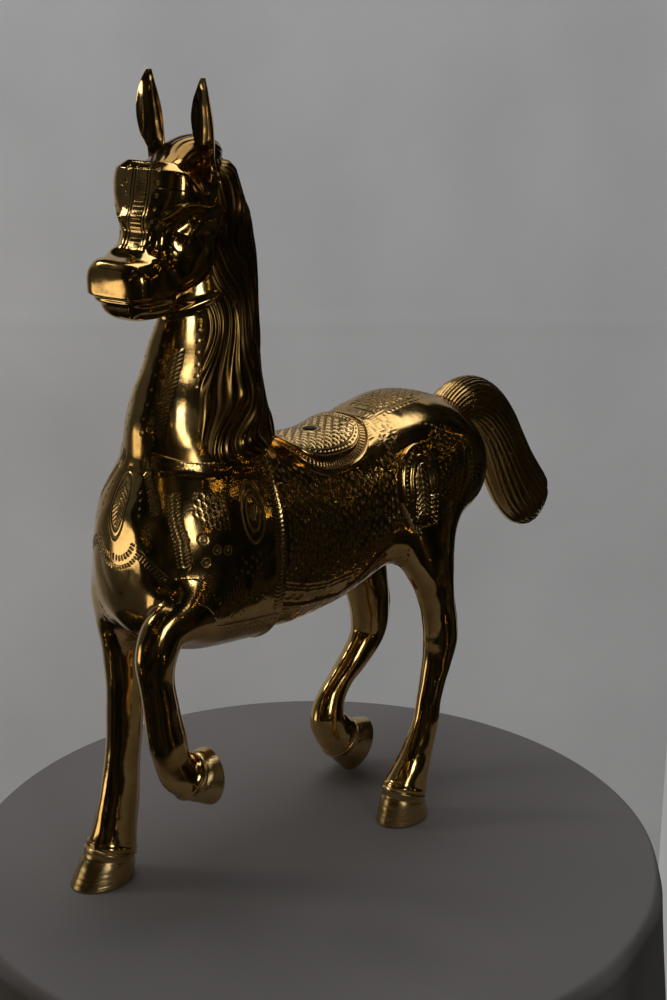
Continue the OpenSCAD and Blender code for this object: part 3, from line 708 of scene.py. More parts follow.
def rearCuts(p, n):
    # barrel: a field of dashes over a plain belly; back: a bordered band of scales; haunch: scales and dots
    x, y, z = np.abs(p[..., 0]), p[..., 1], p[..., 2]
    side = smoothStep(np.abs(n[..., 0]), 0.25, 0.45)
    top = smoothStep(n[..., 2], 0.20, 0.45)
    barrel = deepest(
        1.5 * flecks(y, z, 3.9, 7.6, 4.8, 1.45, 0.12, 4) * inside(
            y, z, [(-17, 336), (10, 332), (45, 318), (80, 318), (104, 330), (106, 268), (70, 246),
                   (28, 240), (-17, 252)], 2),
        dots(y, z, [(-19, 340), (-19, 250)], 4.5, 1.2),
        line(y, z, [(-22, 250), (4, 241), (30, 236), (58, 238), (80, 252)], 1.5),
        line(y, z, [(-22, 247), (4, 238), (30, 233), (56, 234)], 1.2),
        hatch(y, z, [(-18, 239), (4, 232), (24, 228)], 2.6, 2.8, 0.5),
        ovals(y, z, (26, 224), (4.5, 2.4), 2, 1.2))
    haunch = deepest(
        scales(z, y, 6.4, 1.1) * inside(y, z, [(100, 350), (124, 352), (104, 322), (98, 322)], 2),
        line(y, z, [(173, 326), (172, 300), (164, 262)], 1.8),
        1.2 * flecks(y, z, 4.6, 4.6, 1.9, 1.9, 0.0, 6) * inside(
            y, z, [(140, 344), (168, 338), (168, 296), (158, 262), (140, 264)], 2),
        1.2 * flecks(y, z, 4.6, 4.6, 1.8, 1.8, 0.0, 7) * inside(
            y, z, [(178, 330), (200, 318), (190, 280), (178, 280)], 2))
    back = deepest(
        line(x, y, [(19, 112), (21, 150), (17, 190), (8, 208)], 1.5),
        dots(x, y, [(23, 112), (25, 150), (21, 190), (11, 210)], 4.2, 1.2),
        1.3 * scales(x, y, 7.0, 1.3) * inside(x, y, [(-1, 116), (17, 114), (19, 150), (15, 190), (6, 206),
                                                     (-1, 208)], 1.5),
        hatch(x, y, [(0, 110), (26, 108)], 3.0, 3.0), line(x, y, [(0, 113.5), (26, 112)], 1.4),
        hatch(x, y, [(0, 101), (20, 99), (34, 92)], 3.0, 2.8, 0.4))
    return deepest(side * barrel, side * haunch, top * back)


def rearBody():
    # the trunk behind the seam, drawn in at first, with a bead along the edge of the belly
    look = bodyLook
    tt, aa, skin, outward = bodySkin(seamStation, len(trunkTable), 9.0, *look["rearGrid"], hindNeighbours)
    y, z = skin[..., 1], skin[..., 2]
    side = alongPath(y, z, [(-22, 230), (12, 223), (46, 220), (66, 229), (82, 243), (98, 254)])[1]
    keel = look["keel"] * np.exp(-(side / 1.7)**2) * (np.abs(aa - math.pi / 2) > 0.25)
    gap = look["barrelIn"] * np.exp(-np.clip(y + 22, 0, None) / 7.0)
    chasedPart = smoothStep(y, -16, -8) * (1 - smoothStep(y, 90, 105))
    gap -= look["barrelRough"] * noiseField(skin, 7, 25) * chasedPart
    skin = skin + outward * (keel - gap + look["filing"] * noiseField(skin, 34, 22))[..., None]
    skin, cut = chased(skin, rearCuts, look["cutDepth"])
    addPiece("rearBody", skin, chasedBrass, ["rear_body"], rearCutTone * cut)


frontBody()
rearBody()
print("body castings made")


def limbGrid(table, start, end, rows, cols, bulge=3.0, even=None):
    # stations and angles of a limb spaced evenly over its surface, and the surface there
    plain = lambda t, a: limbPoint(table, t, a, 0.0, bulge)
    t = evenStations(plain, start, end, rows)
    tt, aa = np.meshgrid(t, evenAngles(plain, len(table) / 2 if even is None else even, cols), indexing="ij")
    return tt, aa, plain(tt, aa)


def angleFrom(aa, middle):
    # angle from a direction, -pi to pi
    return (aa - middle + math.pi) % (2 * math.pi) - math.pi


neckLook = {"grid": (270, 270), "blend": 16.0, "throatRing": 2.6, "aboveRing": 1.2, "filing": 0.5,
            "cutDepth": 0.5}


def neckCuts(p, n):
    # sparse dotted lines and a short feathered line down the front, a dotted line on the sides
    x, y, z = np.abs(p[..., 0]), p[..., 1], p[..., 2]
    front = smoothStep(-n[..., 1], 0.05, 0.25)
    side = smoothStep(np.abs(n[..., 0]), 0.3, 0.5)
    feather = [(21, 372), (19, 400), (16, 430)]
    return deepest(
        front * dots(x, z, [(8, 368), (8, 430), (7, 480)], 10.0, 1.2),
        front * dots(x, z, [(14, 372), (13, 430)], 11.0, 1.0),
        0.7 * front * hatch(x, z, feather, 2.8, 3.0, 0.8), 0.6 * front * line(x, z, feather, 1.0),
        side * dots(y, z, [(-78, 400), (-66, 450)], 8.0, 1.1))


def neck():
    # a column swollen into the trunk, with a ring at the throat and a little more girth above it
    look = neckLook
    rows, cols = look["grid"]
    tt, aa, skin = limbGrid(neckTable, 0.4, len(neckTable) - 0.2, rows, cols)
    outward = outwardOf(skin)
    skin = skin + outward * swollen(skin, outward, [trunkField], look["blend"], 14.0)[..., None]
    forward = np.cos(angleFrom(aa, -math.pi / 2))
    fore = smoothStep(forward, -0.3, 0.3)
    ring = np.exp(-((skin[..., 2] - 456 - 0.30 * (skin[..., 1] + 79)) / 3.2)**2) * fore
    above = smoothStep(skin[..., 2], 458, 466) * fore
    push = look["throatRing"] * ring + look["aboveRing"] * above + look["filing"] * noiseField(skin, 30, 23)
    skin = skin + outward * push[..., None]
    skin, cut = chased(skin, neckCuts, look["cutDepth"])
    addPiece("neckCasting", skin, chasedBrass, ["neck"], cut)


headLook = {
    "grid": (300, 310),
    "plate": [44, 56, 58, 50, 32, 19, 13, 12, 12, 12, 12],  # half width of the face plate round the head, mm
    "step": 8.0,          # how far the cheek falls behind the plate's edge, mm
    "farStep": 0.3,       # share of that on the far cheek
    "rim": 0.5,           # height of the plate's rim, mm
    "corner": (2.6, 6.5),  # how far the plate's corners stand out, above and below, mm
    "jowl": 4.6,          # how far the jowl swells, mm
    "hollow": 0.5,        # depth of the hollows beside the middle of the face, mm
    "brow": 6.5,          # how far the brow stands up, mm
    "browFall": 21.0,     # how far its edge falls towards the ears, mm
    "lip": 3.0,           # depth of the mouth's line, mm
    "chin": 5.5,          # how far the chin draws back, mm
    "bevel": 0.98,        # height of the ridge along the muzzle's top edge, mm
    "filing": 0.35,       # unevenness left by filing, mm
    "muzzleMiddle": (-3.0, -115.5, 477.5),
    "muzzleHalf": (28.5, 24.0, 22.6),
    "cutDepth": 0.45,
}


def head():
    # a face plate with standing edges on a narrower head, and a muzzle like a box with soft corners
    look = headLook
    rows, cols = look["grid"]
    tt, aa, skin = limbGrid(headTable, -0.98, len(headTable) - 0.02, rows, cols, bulge=2.0, even=4.0)
    outward = outwardOf(skin)
    seg = np.linalg.norm(np.roll(skin, -1, 1) - skin, axis=-1)
    travel = np.cumsum(seg, 1) - seg
    girth = seg.sum(1, keepdims=True)
    frontColumn = np.abs(angleFrom(aa[0], math.pi / 2)).argmin()
    s = travel - travel[:, frontColumn:frontColumn + 1]
    s = (s + girth / 2) % girth - girth / 2  # signed travel round the head from the middle of the face
    plate = np.interp(tt, np.arange(len(look["plate"])), look["plate"])
    e = np.abs(s) - plate
    upper = smoothStep(tt, 0.8, 1.6) * (1 - smoothStep(tt, 6.6, 7.6))
    high = smoothStep(tt, 0.2, 1.4) * (1 - smoothStep(tt, 4.6, 6.4))
    low = smoothStep(tt, 4.2, 6.4) * (1 - smoothStep(tt, 7.1, 8.0))
    corner = look["corner"][0] * np.exp(-((np.abs(s) - 30) / 15)**2) * high
    corner += look["corner"][1] * np.exp(-((np.abs(s) - 22) / 10)**2) * low
    # the cheek drops away under the plate's sharp edge and comes back at the jowl
    step = look["step"] * smoothStep(e, -1.5, 5.0) * (1 - smoothStep(e, 11, 28)) * upper
    step = step * np.where(skin[..., 0] < 0, look["farStep"], 1.0)
    rim = look["rim"] * np.exp(-((e + 2.6) / 1.8)**2) * upper
    jowl = look["jowl"] * np.exp(-(((skin[..., 1] + 75) / 17)**2 + ((skin[..., 2] - 492) / 18)**2)**2)
    jowl *= smoothStep(np.abs(skin[..., 0]), 6, 14)
    hollow = look["hollow"] * np.exp(-((np.abs(s) - plate * 0.45) / 8)**2) * upper * (tt > 3)
    skin = skin + outward * (rim + corner - step + jowl - hollow)[..., None]
    # the brow stands up as a sharp edge across the top of the plate
    brow = look["brow"] * np.exp(-((tt - 1.3) / 1.1)**2) * smoothStep(-(skin[..., 1] + 74), 8, 26)
    # and its edge falls away to the sides, towards the ears
    sides = smoothStep(np.abs(skin[..., 0]), 13, 33) * (1 - smoothStep(tt, 1.5, 5.0))
    brow = brow - look["browFall"] * sides * smoothStep(skin[..., 1], -104, -74)
    skin = skin + np.array([0.0, -0.15, 1.0]) * brow[..., None]
    # the muzzle is a box with soft corners
    c = np.array(look["muzzleMiddle"])
    q = skin - c
    length = np.linalg.norm(q, axis=-1) + 1e-9
    u = q / length[..., None] / np.array(look["muzzleHalf"])
    power = (4.2 - 1.2 * smoothStep(c[2] - skin[..., 2], 2, 10))[..., None]  # rounder at the chin
    box = (np.abs(u)**power).sum(-1)**(-1 / power[..., 0])
    toBox = smoothStep(tt, 7.0, 8.4)
    skin = c + q * (1 + toBox * (box / length - 1))[..., None]
    y, z = skin[..., 1], skin[..., 2]
    lip = look["lip"] * np.exp(-((z - 471 - 0.10 * (y + 139)) / 1.5)**2) * smoothStep(-y, 96, 106)
    chin = look["chin"] * (1 - smoothStep(z, 466, 473)) * smoothStep(-y, 100, 124)
    bevel = look["bevel"] * np.exp(-((z - 496.5) / 1.6)**2) * smoothStep(-y, 118, 128)
    inward = c - skin
    inward /= np.linalg.norm(inward, axis=-1, keepdims=True)
    skin = skin + inward * ((lip - bevel) * toBox)[..., None]
    skin = skin + inward * np.array([1.0, 1.0, 0.0]) * (chin * toBox)[..., None]
    skin = skin + outward * (look["filing"] * noiseField(skin, 24, 24))[..., None]
    # chasing on the plate: a hatched strip down the middle, lines beside it, dots and an edge of dashes
    mid = np.abs(s)
    on = upper * smoothStep(tt, 1.2, 1.6) * (e < -2) * (mid < 44)
    down = skin[..., 2]
    cut = 0.6 * on * deepest(
        stroke(mid - 5.5, 1.3),
        0.6 * stroke((down / 3.0 % 1 - 0.5) * 3.0, 1.5) * (mid < 4.6),
        stroke(mid - 8.0, 1.1) * (tt > 2),
        stroke((down / 4.4 % 1 - 0.5) * 4.4, 1.8) * (np.abs(e + 5.5) < 2.0) * (tt < 4.6),
        1 - smoothStep(np.hypot((down / 8.5 % 1 - 0.5) * 8.5, mid - 13.5), 0.8, 2.0))
    skin = skin - gridNormals(skin) * (look["cutDepth"] * cut)[..., None]
    addPiece("headCasting", turnedBy(skin, headTurn), polishedBrass, ["head"], cut)


legLook = {
    "grid": (330, 130),
    "filing": 0.3,      # unevenness left by filing, mm
    "tendon": 0.9,      # depth of the grooves beside the tendon, mm
    "bone": 0.5,        # height of the ridge down the front, mm
    "coronet": 0.8,     # height of the ring above the hoof, mm
    "beadPitch": 4.6,   # millimetres from bead to bead
    "beadHeight": 1.1,
    "lineDepth": 0.4,   # depth of the lines beside the beads, mm
}


def leg(name, table, node, hind, seed):
    # smooth castings with a hint of tendon behind, and on the hind pair a beaded line down the back
    look = legLook
    rows, cols = look["grid"]
    tt, aa, skin = limbGrid(table, 0.2, len(table) - 1.0, rows, cols)
    outward = outwardOf(skin)
    push = swollen(skin, outward, [trunkField], bodyLook["blend"], 16.0)
    travel = np.concatenate([[0], np.cumsum(np.linalg.norm(np.diff(skin, axis=0), axis=-1).mean(1))])[:, None]
    low = smoothStep(tt, 2.5, 4.0) * (1 - smoothStep(tt, len(table) - 2.6, len(table) - 1.6))
    behind = angleFrom(aa, -math.pi / 2)
    tendon = look["tendon"] * np.exp(-((np.abs(behind) - 0.85) / 0.22)**2) * low
    bone = look["bone"] * np.exp(-(np.abs(angleFrom(aa, math.pi / 2)) / 0.3)**2) * low
    coronet = look["coronet"] * np.exp(-((travel[-1] - travel - 3.0) / 1.6)**2) + 0 * tt
    cut = np.zeros(skin.shape[:2])
    if hind:
        bead = np.abs(np.sin(math.pi * travel / look["beadPitch"])) * np.exp(-(behind / 0.13)**2)
        reach = smoothStep(tt, 0.6, 1.2) * (1 - smoothStep(tt, len(table) - 6.0, len(table) - 5.0))
        push = push + look["beadHeight"] * bead * reach
        cut = reach * stroke((np.abs(behind) - 0.24) * 14, 1.4)
    push = push - tendon + bone + coronet - look["lineDepth"] * cut
    push = push + look["filing"] * noiseField(skin, 26, seed)
    addPiece(name, skin + outward * push[..., None], polishedBrass, [node], cut)


neck()
head()
leg("foreLegLeft", foreLeftTable, "foreleg_left", False, 31)
leg("foreLegRight", foreRightTable, "foreleg_right", False, 32)
leg("hindLegLeft", hindLeftTable, "hindleg_left", True, 33)
leg("hindLegRight", hindRightTable, "hindleg_right", True, 34)
print("neck, head and legs made")


# soles: x, y, z of the middle, half width, half length, tilt from flat in degrees
hoofLook = {
    "foreRight": ([-47, -125, 0, 21, 27, 0], foreRightTable, "hoof_fore_right"),
    "hindLeft": ([47, 120, 0, 19, 25, 0], hindLeftTable, "hoof_hind_left"),
    "foreLeft": ([47, -92, 113, 21, 22, 82], foreLeftTable, "hoof_fore_left"),
    "hindRight": ([-49, 159, 21.5, 19, 25.35, 58], hindRightTable, "hoof_hind_right"),
}


def hoof(name, sole, table, node):
    # wall lofted from the leg's last ring to the sole: a coronet ridge, a waist, a rounded lower edge
    a = np.linspace(0, 2 * math.pi, 181)[:-1]
    last = len(table) - 1.0
    top = limbPoint(table, np.full_like(a, last), a, 0.0)
    tilt = math.radians(sole[5])
    fore = -sole[4] * np.sin(a)
    low = np.array(sole[:3]) + np.stack([sole[3] * np.cos(a), fore * math.cos(tilt),
                                         fore * math.sin(tilt)], -1)
    s = np.concatenate([np.linspace(0, 0.965, 110), np.linspace(0.97, 1, 12)])[:, None]
    centre = top.mean(0) * (1 - s[..., None]) + low.mean(0) * s[..., None]
    grow = 1 + 0.05 * np.exp(-((s - 0.07) / 0.05)**2) - 0.045 * np.exp(-((s - 0.24) / 0.10)**2)
    grow = grow - 0.06 * (1 - np.sqrt(1 - ((s - 0.965) / 0.035).clip(0, 1)**2))
    grow = grow * (1 + 0.0015 * np.sin(2 * math.pi * s * 7))
    wall = centre + (top * (1 - s[..., None]) + low * s[..., None] - centre) * grow[..., None]
    r = np.linspace(0.92, 0.04, 40)[:, None, None]
    up = (top.mean(0) - low.mean(0)) / np.linalg.norm(top.mean(0) - low.mean(0))
    dish = 1.6 * smoothStep(0.92 - r, 0.06, 0.16)
    under = low.mean(0) + (low - low.mean(0)) * r + up * dish
    addPiece(name, np.concatenate([wall, under]), hoofBrass, [node])


for hoofName, (sole, table, node) in hoofLook.items():
    hoof(hoofName + "Hoof", sole, table, node)
print("hooves made")


earLook = {
    "grid": (150, 120),
    "splay": math.radians(15),  # how far each ear opens outwards
    "cup": 1.6,                 # how strongly the edges curl
    "leftLower": 5.0,           # how much lower the left ear sits, mm
    "leftWider": 1.12,
    "leftUpright": 5.0,         # how far the left tip comes back in, mm
    "rightBase": 2.0,           # how far the right ear's base lies further out, mm
}


def ear(name, side, node):
    # a leaf curled forward at its edges, thinner in front so that it is cupped, with a thick rim
    look, isLeft = earLook, side > 0
    rows, cols = look["grid"]
    t = np.linspace(-0.9, len(earTable) - 0.1, rows)[:, None]
    last = len(earTable) - 1
    shrink = np.clip(1 - np.maximum(-t, 0) - np.maximum(t - last, 0), 0, 1)
    shrink = np.sqrt(1 - (1 - shrink)**2)
    a = np.linspace(0, 2 * math.pi, cols + 1)[None, :-1]
    r = stationRow(earTable, np.clip(t, 0, last))
    g = side * look["splay"]
    w = r[..., 3] * (look["leftWider"] if isLeft else 1.0) * np.cos(a) * shrink
    curl = r[..., 5] * look["cup"] * np.cos(a)**2
    cup = np.where(np.sin(a) < 0, 0.3 + 0.7 * (1 - smoothStep(r[..., 5], 0.3, 2.0)), 1.0)
    rim = 1 + 0.5 * np.abs(np.cos(a))**8
    d = r[..., 4] * np.sin(a) * cup * rim * shrink - curl * shrink
    if isLeft:
        across = -r[..., 0] - look["leftUpright"] * smoothStep(t, 3.5, 7.0)
    else:
        across = r[..., 0] - look["rightBase"] * (1 - smoothStep(t, 1.5, 4.5))
    x = across + w * np.cos(g) + d * np.sin(g)
    y = r[..., 1] - w * np.sin(g) + d * np.cos(g)
    z = r[..., 2] - (look["leftLower"] if isLeft else 0) + 0 * a
    addPiece(name, turnedBy(np.stack([x, y, z], -1), headTurn), polishedBrass, [node])


def forelock():
    # a tuft combed forward in a few thick strands
    tt, aa, skin = limbGrid(forelockTable, -0.9, len(forelockTable) - 0.1, 200, 200)
    phase = 3 * aa / math.pi + 0.35 * np.sin(tt * 1.4)
    locks = 1.7 * np.abs(np.sin(math.pi * phase / 2))**0.7 + 0.2 * np.sin(2 * math.pi * phase * 3)
    locks = locks * smoothStep(tt, -0.5, 0.8) * (1 - smoothStep(tt, 4.3, 5.5))
    skin = skin + outwardOf(skin) * (locks - 0.8)[..., None]
    addPiece("forelockTuft", turnedBy(skin, headTurn), shadedHairBrass, ["forelock"],
             0.5 * (1 - np.abs(np.sin(math.pi * phase / 2))**0.5))


maneLook = {
    "rows": 400, "outer": 215, "inner": 20,  # points down the neck, over the outside and along the inside
    "thick": 6.4,                 # of the locks, mm
    "crown": 11.0,                # how far it springs out behind the ear, mm
    "rise": (0.0, -3.0, 10.0),    # how far its top goes up to the back of the ear, mm
    "locks": 5.0, "strands": 4, "strandDepth": 0.9,
}


def mane():
    # locks in S-curves down the left of the neck: sharp valleys between round strands, finely grooved
    look = maneLook
    s = np.linspace(0, 1, look["rows"])[:, None]
    t = 1.4 + 7.6 * s
    uOut, uIn = np.linspace(0, 1, look["outer"])[None], np.linspace(1, 0, look["inner"] + 2)[None, 1:-1]
    forward = 30 * smoothStep(s, 0.65, 0.88)
    angleOf = lambda u: np.radians(-28 - forward + (128 + forward) * u)
    sway = 0.55 * np.sin(2 * math.pi * (1.55 * s + 0.35 * uOut))
    sway = sway + 0.18 * np.sin(2 * math.pi * (3.7 * s - uOut))
    phase = look["locks"] * (uOut + 0.25 * s) + sway
    lock = np.abs(np.sin(math.pi * phase))**0.62
    fine = np.sin(2 * math.pi * phase * look["strands"] + 1.5 * np.sin(9 * s))
    body = np.sin(math.pi * np.clip(uOut, 0.0, 1.0))**0.45
    ends = smoothStep(s, 0, 0.05) * (1 - smoothStep(s, 0.96, 1.0))
    swell = 0.82 + 0.18 * np.sin(2 * math.pi * (2.3 * s + 0.8 * phase))
    swell = swell * (0.55 + 0.45 * smoothStep(s, 0.05, 0.35))
    crown = look["crown"] * smoothStep(s, 0.70, 0.86) * (1 - smoothStep(s, 0.93, 1.0))
    crown = crown * smoothStep(uOut, 0.0, 0.15) * (1 - smoothStep(uOut, 0.42, 0.8))
    high = -1.5 + ends * body * (1.5 + crown + look["thick"] * swell * (0.22 + 0.78 * lock)
                                 + look["strandDepth"] * fine * lock)
    rise = np.array(look["rise"]) * smoothStep(s, 0.80, 1.0)[..., None]
    outer = limbPoint(neckTable, t + 0 * uOut, angleOf(uOut) + 0 * t, -high) + rise
    inner = limbPoint(neckTable, t + 0 * uIn, angleOf(uIn) + 0 * t, 1.5) + rise
    cut = np.concatenate([(1 - lock)**1.2 + 0.45 * smoothStep(-fine, 0.0, 1.0), np.zeros(inner.shape[:2])], 1)
    addPiece("maneLocks", np.concatenate([outer, inner], 1), shadedHairBrass, ["mane"], cut)


tailLook = {
    "grid": (320, 300),
    "strands": 30,
    "depth": 1.3,       # of the grooves between the strands, mm
    "fineDepth": 0.35,  # of the three finer ones in each strand, mm
    "twist": 0.16,
    "tip": 2.4,         # how uneven the strands' ends are, mm
}


def tail():
    # strands run its length with a slow twist and end unevenly; the side towards the rump stays smooth
    look = tailLook
    rows, cols = look["grid"]
    tt, aa, skin = limbGrid(tailTable, 0.2, len(tailTable) - 0.05, rows, cols, bulge=4.0, even=6.0)
    outward = outwardOf(skin)
    push = swollen(skin, outward, [trunkField], 8.0, 5.0)
    phase = aa * look["strands"] / (2 * math.pi) + look["twist"] * tt * 2 + 0.35 * np.sin(tt * 1.1 + 2 * aa)
    groove = np.abs(np.sin(math.pi * phase))**0.6
    fine = np.abs(np.sin(3 * math.pi * phase))
    smoothSide = np.exp(-(angleFrom(aa, math.pi / 2) / 0.45)**4) * smoothStep(tt, 2.0, 3.5)
    hair = (1 - smoothSide) * smoothStep(tt, 0.6, 1.6)
    push = push - look["depth"] * (1 - groove) * hair - look["fineDepth"] * (1 - fine) * hair
    alongAxis = limbFrame(tailTable, np.clip(tt, 0, len(tailTable) - 1))[1]
    nearTip = smoothStep(tt, 8.2, 9.4) * (1 - smoothStep(tt, 9.5, 10.3))
    notch = look["tip"] * (groove * (0.55 + 0.45 * np.sin(2.3 * phase)) - 0.6) * nearTip
    skin = skin + outward * push[..., None] + alongAxis * notch[..., None]
    cut = hair * (0.8 * (1 - groove)**1.3 + 0.3 * (1 - fine)**2)
    addPiece("tailLocks", skin, chasedBrass, ["tail"], cut)


ear("earLeft", 1, "ear_left")
ear("earRight", -1, "ear_right")
forelock()
mane()
tail()
print("ears, forelock, mane and tail made")


def plateGrid(t0, t1, middle, half, rows, cols, neighbours):
    # a patch of the body's skin between two stations, half an angle each side of middle, and the
    # distance of each of its points from its border in millimetres
    v = np.linspace(-1, 1, cols)[None]
    u = (1 - np.cos(np.linspace(0, math.pi, rows)))[:, None] / 2
    reach = np.radians(half * np.sqrt(np.maximum(0, 1 - np.abs(2 * u - 1)**3)) + 2)
    t = t0 + (t1 - t0) * u + 0 * v
    a = -(math.radians(middle) - reach * v)
    if neighbours:
        whole = np.linspace(0, 2 * math.pi, 97)[:-1][None] + 0 * t[:, :1]
        grid = np.concatenate([t, np.repeat(t[:, :1], 96, 1)], 1), np.concatenate([a, whole], 1)
        skin = trunkPoint(*grid, 0.0)
        outward = skin - skin[:, cols:].mean(1, keepdims=True)
        outward /= np.linalg.norm(outward, axis=-1, keepdims=True)
        skin = skin + outward * swollen(skin, outward, neighbours, bodyLook["blend"], 16.0)[..., None]
        skin, outward = skin[:, :cols], outward[:, :cols]
    else:
        skin = trunkPoint(t, a, 0.0)
        middleLine = trunkPoint(t[:, :1], a[:, :1] * 0, 0.0)
        middleLine[..., 0] = 0
        outward = skin - middleLine
        outward /= np.linalg.norm(outward, axis=-1, keepdims=True)
    across = np.linalg.norm(skin[:, -1] - skin[:, 0], axis=-1)[:, None] / 2 * 1.1
    lengthwise = abs(stationRow(trunkTable, t1)[0] - stationRow(trunkTable, t0)[0])
    return np.minimum((1 - np.abs(v)) * across, np.minimum(u, 1 - u) * lengthwise), skin, outward


def addPlate(name, skin, outward, under, height, node, cut):
    # closes an upper surface of the given height with an under side
    top = skin + outward * height[..., None]
    bottom = (skin + outward * under)[:, ::-1][:, 1:-1]
    cut = np.concatenate([cut, np.zeros(bottom.shape[:2])], 1)
    addPiece(name, np.concatenate([top, bottom], 1), chasedBrass, [node], cut)


saddleLook = {
    "pad": 3.0, "seat": 4.0,   # thickness of each, mm
    "bead": 1.6,               # height of the pad's border, mm
    "scale": 7.0,              # millimetres from scale to scale
    "screwPlace": 58.0,        # of the screw along the body, mm
    "screwRecess": 5.2,        # radius of the recess for its head, mm
    "cutDepth": 0.6,
}


def saddlePad():
    # low plate with a round bead at its border and a hatched slope up to the seat
    e, skin, outward = plateGrid(6.9, 10.1, 90, 47, 230, 330, None)
    edge = np.sqrt(1 - (1 - np.clip(e / 2.2, 0, 1))**2)
    bead = saddleLook["bead"] * np.exp(-((e - 2.4) / 1.5)**2)
    angle = np.arctan2(skin[..., 0], skin[..., 1] - saddleLook["screwPlace"])
    cut = stroke((angle * 16 % 1 - 0.5) * 2.8, 1.5) * ((e > 5) & (e < 14)) * smoothStep(e, 5, 6)
    cut = deepest(cut, stroke(e - 4.9, 1.2))
    height = -1 + (saddleLook["pad"] + 1) * edge + bead - saddleLook["cutDepth"] * cut
    addPlate("saddlePad", skin, outward, -1.0, height, "saddle_pad", cut)


def saddleSeat():
    # plateau covered in overlapping scales inside a dotted border
    e, skin, outward = plateGrid(7.1, 9.9, 90, 38, 230, 330, None)
    edge = np.sqrt(1 - (1 - np.clip(e / 3.0, 0, 1))**2)
    x, y = skin[..., 0], skin[..., 1]
    scale = scales(x, y, saddleLook["scale"], 1.3)
    fromScrew = y - saddleLook["screwPlace"]
    border = 1 - smoothStep(np.hypot((np.arctan2(x, fromScrew) * 9 % 1 - 0.5) * 3.4, e - 6.2), 0.4, 1.1)
    screwGap = np.hypot(x, fromScrew)
    cut = deepest(scale * (e > 9.5) * (screwGap > 9), border * (e < 9), stroke(e - 9.0, 1.2),
                  stroke(e - 3.4, 1.0),
                  stroke(screwGap - 8.0, 1.2))
    base, top = saddleLook["pad"] / 2, saddleLook["pad"] + saddleLook["seat"]
    height = base + (top - base) * edge - saddleLook["cutDepth"] * cut
    height = np.where(screwGap < saddleLook["screwRecess"], np.minimum(height, top - 1.6), height)
    addPlate("saddleSeat", skin, outward, base, height, "saddle_seat", cut)


# heights above the plate, in millimetres
hipLook = {"plate": 1.5, "rib": 2.2, "strap": 1.6, "innerRib": 1.2, "leaf": 0.8, "cutDepth": 0.6}


def curveThrough(points):
    # a smooth open curve through a few points
    return stationRow(points, np.linspace(0, len(points) - 1, 6 * len(points)))


def hipOrnament(name, middle, node):
    # an arched plate: a rib round it, a stitched strap down the front, raised leaves, a fringe below
    e, skin, outward = plateGrid(9.95, 11.6, middle, 36, 220, 250, hindNeighbours[:2])
    y, z = skin[..., 1], skin[..., 2]
    arch = curveThrough([(101, 286), (101, 304), (106, 319), (116, 328), (126, 330), (134, 325), (138, 312),
                         (138, 290), (136, 257)])
    border = [*arch, (124, 258), (112, 260)]
    deep = np.abs(alongPath(y, z, [*border, border[0]])[1]) * (inside(y, z, border, 0.01) > 0)
    rib = np.exp(-((deep - 2.1) / 1.3)**2)
    along, side = alongPath(y, z, curveThrough([(107, 287), (107, 303), (111, 315), (118, 323)]))[:2]
    strap = np.sqrt(np.clip(1 - (side / 3.2)**2, 0, 1))
    stitches = stroke(side, 2.4) * stroke((along / 3.6 % 1 - 0.5) * 3.6, 2.2)
    innerRib = np.exp(-(alongPath(y, z, curveThrough(
        [(113, 288), (114, 304), (118, 315), (124, 320), (130, 315), (132, 298), (131, 272)]))[1] / 1.3)**2)
    bar = np.exp(-(alongPath(y, z, [(112, 268), (124, 266), (136, 265)])[1] / 1.4)**2)
    field = inside(y, z, [(116, 290), (117, 304), (121, 314), (126, 315), (129, 300), (128, 272),
                          (115, 272)], 1.0)
    leaves = deepest(hatch(y, z, [(122, 274), (122, 313)], 5.5, 4.4, 1.0, True),
                     line(y, z, [(122, 274), (122, 313)], 1.2)) * field
    fringe = hatch(y, z, [(112, 262), (124, 260), (136, 259)], 3.4, 3.0)
    cut = deepest(stitches, leaves, fringe)
    relief = deepest(hipLook["rib"] * rib, hipLook["strap"] * strap, hipLook["innerRib"] * innerRib,
                     hipLook["innerRib"] * bar, hipLook["leaf"] * field)
    height = -1 + smoothStep(deep, 0.0, 1.0) * (1 + hipLook["plate"] + relief - hipLook["cutDepth"] * cut)
    addPlate(name, skin, outward, -1.0, height, node, cut)


saddlePad()
saddleSeat()
hipOrnament("hipOrnamentLeft", 3, "hip_ornament_left")
hipOrnament("hipOrnamentRight", 177, "hip_ornament_right")

for nodeName, finish in (("saddle_screw", dulledSteel), ("saddle_nut", dulledSteel),
                         ("hoof_pins", polishedBrass)):
    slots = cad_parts[nodeName].data.materials
    for k in range(len(slots)):
        slots[k] = finish
print("saddle and ornaments made")


stageLook = {
    "cloth": "#807C78", "wall": "#DBDBDB",
    "glow": 0.205,                     # daylight through the sheet
    "leftLift": 0.16,                  # how much lighter it gets towards the left
    "farShade": 0.12,                  # what is left of its light round its far end
    "tableMiddle": (0.025, -0.065), "tableRadius": 0.285, "skirt": 0.55,          # metres
    "wallBack": 0.95, "wallRight": 0.49, "wallLeft": 1.0, "wallTop": 1.2,         # metres
    "wallBend": 1.05,                  # radius of its bend, metres
}


